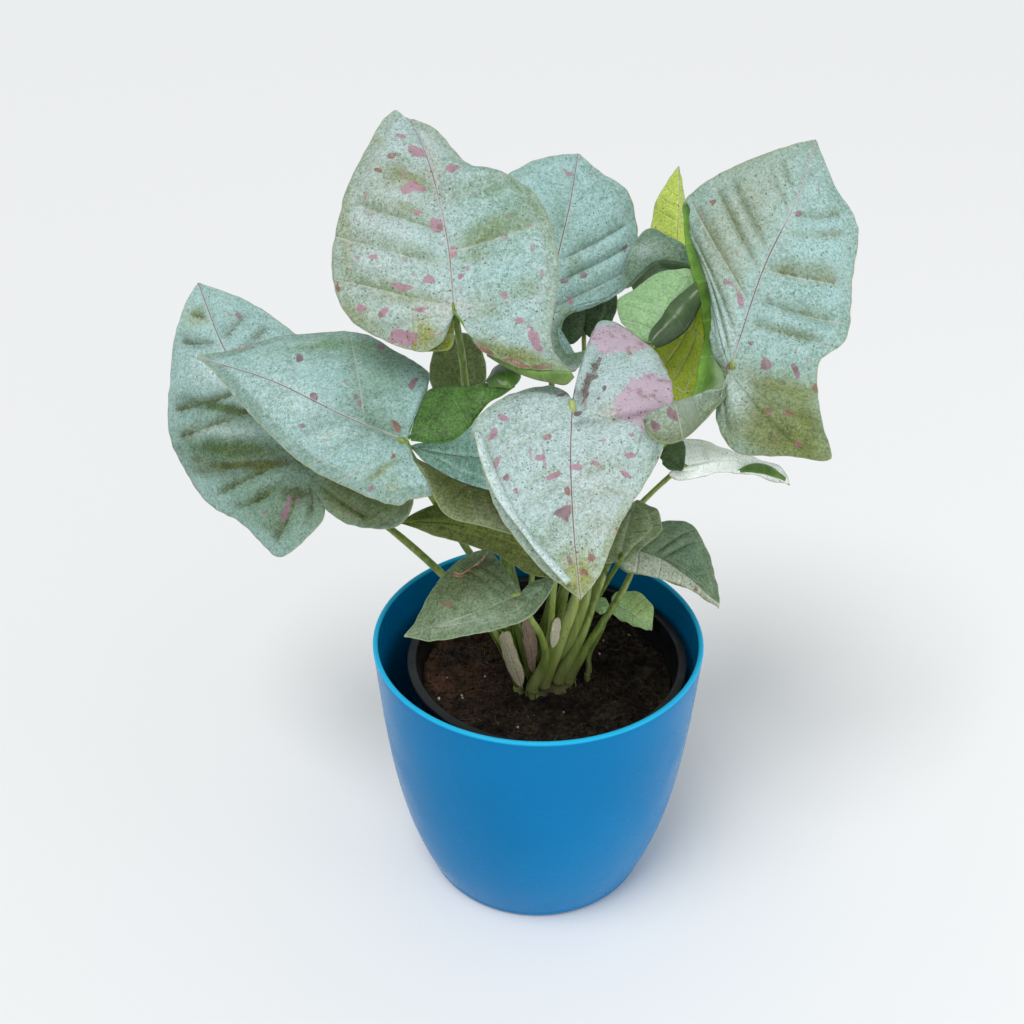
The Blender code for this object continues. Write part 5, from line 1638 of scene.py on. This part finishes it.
def fibreMesh():
    places = [(-1.0, 0.0, 0.0), (-0.4, 0.16, 0.12), (0.15, -0.05, 0.2), (0.6, 0.1, 0.1), (1.0, -0.14, 0.0)]
    line = pathCurve("fibre", smoothCurve(places, 7) * mm)
    line.data.bevel_depth = 0.035 * mm
    line.data.bevel_resolution = 0
    return line


def scatterTree():
    # scatters one bit over the given surface, turned and sized at random from a fixed seed
    tree = bpy.data.node_groups.new("scatteredBits", "GeometryNodeTree")
    face = tree.interface
    face.new_socket("Surface", in_out="INPUT", socket_type="NodeSocketGeometry")
    for label, kind in bitInputs.items():
        face.new_socket(label, in_out="INPUT", socket_type="NodeSocket" + kind)
    face.new_socket("Bits", in_out="OUTPUT", socket_type="NodeSocketGeometry")
    given = tree.nodes.new("NodeGroupInput").outputs
    strewn = {"Mesh": given["Surface"], "Density": given["Density"], "Seed": given["Seed"]}
    spread = put(tree, "GeometryNodeDistributePointsOnFaces", strewn)
    tilt = put(tree, "ShaderNodeCombineXYZ", {"X": given["Flat"], "Y": given["Flat"], "Z": 3.1416}).outputs[0]
    back = put(tree, "ShaderNodeVectorMath", {0: tilt, "Scale": -1.0}, operation="SCALE").outputs[0]
    turns = {0: back, 1: tilt, "Seed": given["Seed"]}
    turn = put(tree, "FunctionNodeRandomValue", turns, data_type="FLOAT_VECTOR")
    sizes = {2: given["Small"], 3: given["Big"], "Seed": given["Seed"]}
    grow = put(tree, "FunctionNodeRandomValue", sizes, data_type="FLOAT")
    bit = put(tree, "GeometryNodeObjectInfo", {"Object": given["Bit"]}).outputs["Geometry"]
    where = {"Points": spread.outputs["Points"], "Rotation": turn.outputs[0], "Scale": grow.outputs[1]}
    placed = put(tree, "GeometryNodeInstanceOnPoints", {"Instance": bit, **where})
    real = put(tree, "GeometryNodeRealizeInstances", {"Geometry": placed.outputs[0]})
    skinned = put(tree, "GeometryNodeSetMaterial", {"Geometry": real.outputs[0], "Material": given["Skin"]})
    tree.links.new(skinned.outputs[0], tree.nodes.new("NodeGroupOutput").inputs[0])
    return tree


def soilTop():
    # the open surface that the bits lie on: the bed's upper faces, away from the crown
    places, faces = [], []
    cx, cy = nurserySizes["centre"]
    steps = bitArea["steps"]
    for radius in np.linspace(bitArea["inner"], bitArea["outer"], bitArea["rings"]):
        for n in range(steps):
            a = math.tau * n / steps
            x, y = cx + radius * math.cos(a), cy + radius * math.sin(a)
            places.append((x, y, groundHeight(x, y) + lumps(x, y) + 0.1))
    for k in range(bitArea["rings"] - 1):
        for n in range(steps):
            m = (n + 1) % steps
            faces.append([k * steps + n, (k + 1) * steps + n, (k + 1) * steps + m, k * steps + m])
    return addMesh("soilTop", places, faces, [])


def scatterSoil(skins):
    tree = scatterTree()
    surface = soilTop()
    bits = {"crumb": crumbMesh(2), "grain": crumbMesh(1), "fibre": fibreMesh()}
    area = math.pi * (bitArea["outer"] ** 2 - bitArea["inner"] ** 2) * mm * mm
    for name, bit in soilBits.items():
        flat = 0.35 if bit["kind"] == "fibre" else 3.1
        sizes = {"Small": bit["small"], "Big": bit["big"], "Flat": flat, "Density": bit["count"] / area}
        shared = {"Skin": skins[name], "Seed": bit["seed"]}
        mesh = runTree(surface, tree, name, Bit=bits[bit["kind"]], **shared, **sizes)
        item = joinMeshes(name, [mesh])
        finishPiece(item, "soil")
    for helper in (surface, *bits.values()):
        bpy.data.objects.remove(helper)
    bpy.data.node_groups.remove(tree)


earthTints = {
    "darkEarth": ((0.012, 0.009, 0.006), (0.045, 0.030, 0.019), (0.085, 0.038, 0.022)),
    "grainEarth": ((0.02, 0.014, 0.009), (0.075, 0.050, 0.033), (0.12, 0.055, 0.032)),
    "fibreEarth": ((0.04, 0.025, 0.014), (0.15, 0.095, 0.055), (0.16, 0.08, 0.045)),
    "paleBits": ((0.35, 0.32, 0.27), (0.60, 0.57, 0.50), (0.45, 0.38, 0.30)),
}


def earthSkin(name):
    dark, mid, red = earthTints[name]
    skin, tree, shader = newSkin(name, 0.95, Specular_IOR_Level=0.25)
    place = objectPlace(tree)
    colour = blend(tree, ease(tree, cloud(tree, place, 2.2, 5, 0.75), 0.42, 0.66), dark, mid)
    hollows = greyScale(tree, ease(tree, cloud(tree, place, 9, 4, 0.65), 0.36, 0.62, 0.45, 1.35))
    colour = blend(tree, 1.0, colour, hollows, "MULTIPLY")
    left = ease(tree, put(tree, "ShaderNodeSeparateXYZ", {"Vector": place}).outputs["X"], 0.0, -0.055)
    warm = calc(tree, left, ease(tree, cloud(tree, place, 12, 3), 0.35, 0.6), "MULTIPLY")
    colour = blend(tree, calc(tree, warm, 0.75, "MULTIPLY"), colour, red)
    tree.links.new(colour, shader.inputs["Base Color"])
    bump(tree, shader, cloud(tree, place, 0.9, 5, 0.7), 0.9, 0.7)
    return skin


def makeCrown(skin):
    size = crownSizes
    steps, rings = size["steps"], size["rings"]
    places, faces = [], []
    for k in range(rings - 1):
        u = k / (rings - 1)
        radius = size["radius"] * (1 - u) ** 0.55
        for n in range(steps):
            a = math.tau * n / steps
            x, y = size["centre"][0] + radius * math.cos(a), size["centre"][1] + radius * math.sin(a)
            knob = noise.noise(Vector((x / 4, y / 4, 7)))
            rise = (size["top"] - size["bottom"]) * math.sin(u * math.pi / 2)
            z = size["bottom"] + rise + 1.1 * knob * (1 - u)
            places.append((x + knob * 1.6 * math.cos(a), y + knob * 1.6 * math.sin(a), z))
    places.append((*size["centre"], size["top"]))
    places.append((*size["centre"], size["bottom"]))
    for k in range(rings - 2):
        for n in range(steps):
            m = (n + 1) % steps
            faces.append([k * steps + n, k * steps + m, (k + 1) * steps + m, (k + 1) * steps + n])
    last = (rings - 2) * steps
    for n in range(steps):
        m = (n + 1) % steps
        faces.append([last + n, last + m, len(places) - 2])
        faces.append([m, n, len(places) - 1])
    item = addMesh("crown", places, faces, [skin])
    finishPiece(item, "crown", "crown")


crownTints = ((0.045, 0.032, 0.016), (0.15, 0.14, 0.05))


def crownSkin():
    skin, tree, shader = newSkin("crownBark", 0.75)
    place = objectPlace(tree)
    colour = blend(tree, ease(tree, cloud(tree, place, 3.5, 4), 0.35, 0.65), *crownTints)
    tree.links.new(colour, shader.inputs["Base Color"])
    bump(tree, shader, cloud(tree, place, 1.5, 4), 0.8, 0.8)
    return skin


def makeFloor():
    half = surround["floorSize"] / 2
    skin, tree, shader = newSkin("paleFloor", 0.7)
    shader.inputs["Base Color"].default_value = (*surround["floor"], 1)
    corners = [(-half, -half, 0), (half, -half, 0), (half, half, 0), (-half, half, 0)]
    addMesh("floor", corners, [(0, 1, 2, 3)], [skin])


addCamera()
addLamps()
makeFloor()
print("stage: camera, lamps and floor")
makePlanter()
makeNurseryPot()
earth = earthSkin("darkEarth")
makeSoil(earth)
makeCrown(crownSkin())
scatterSoil({
    "soil_crumbs": earth,
    "soil_grains": earthSkin("grainEarth"),
    "soil_fibres": earthSkin("fibreEarth"),
    "soil_pale_bits": earthSkin("paleBits"),
})
print("pots, soil and crown")
leafSkins = [leafTop(), leafUnder()]
for leafName, leafShape in leaves.items():
    makeBlade("leaf_" + leafName, {**usualLeaf, **leafShape}, leafSkins, "leaf", "leaf_" + leafName)
for sheathName, sheathShape in sheaths.items():
    makeBlade(sheathName, {**usualLeaf, **usualSheath, **sheathShape}, leafSkins, "sheath", sheathName)
print("leaves and sheaths:", len(leaves) + len(sheaths))
makeStalks(stalkSkin())
print("stalks:", len(stalks))
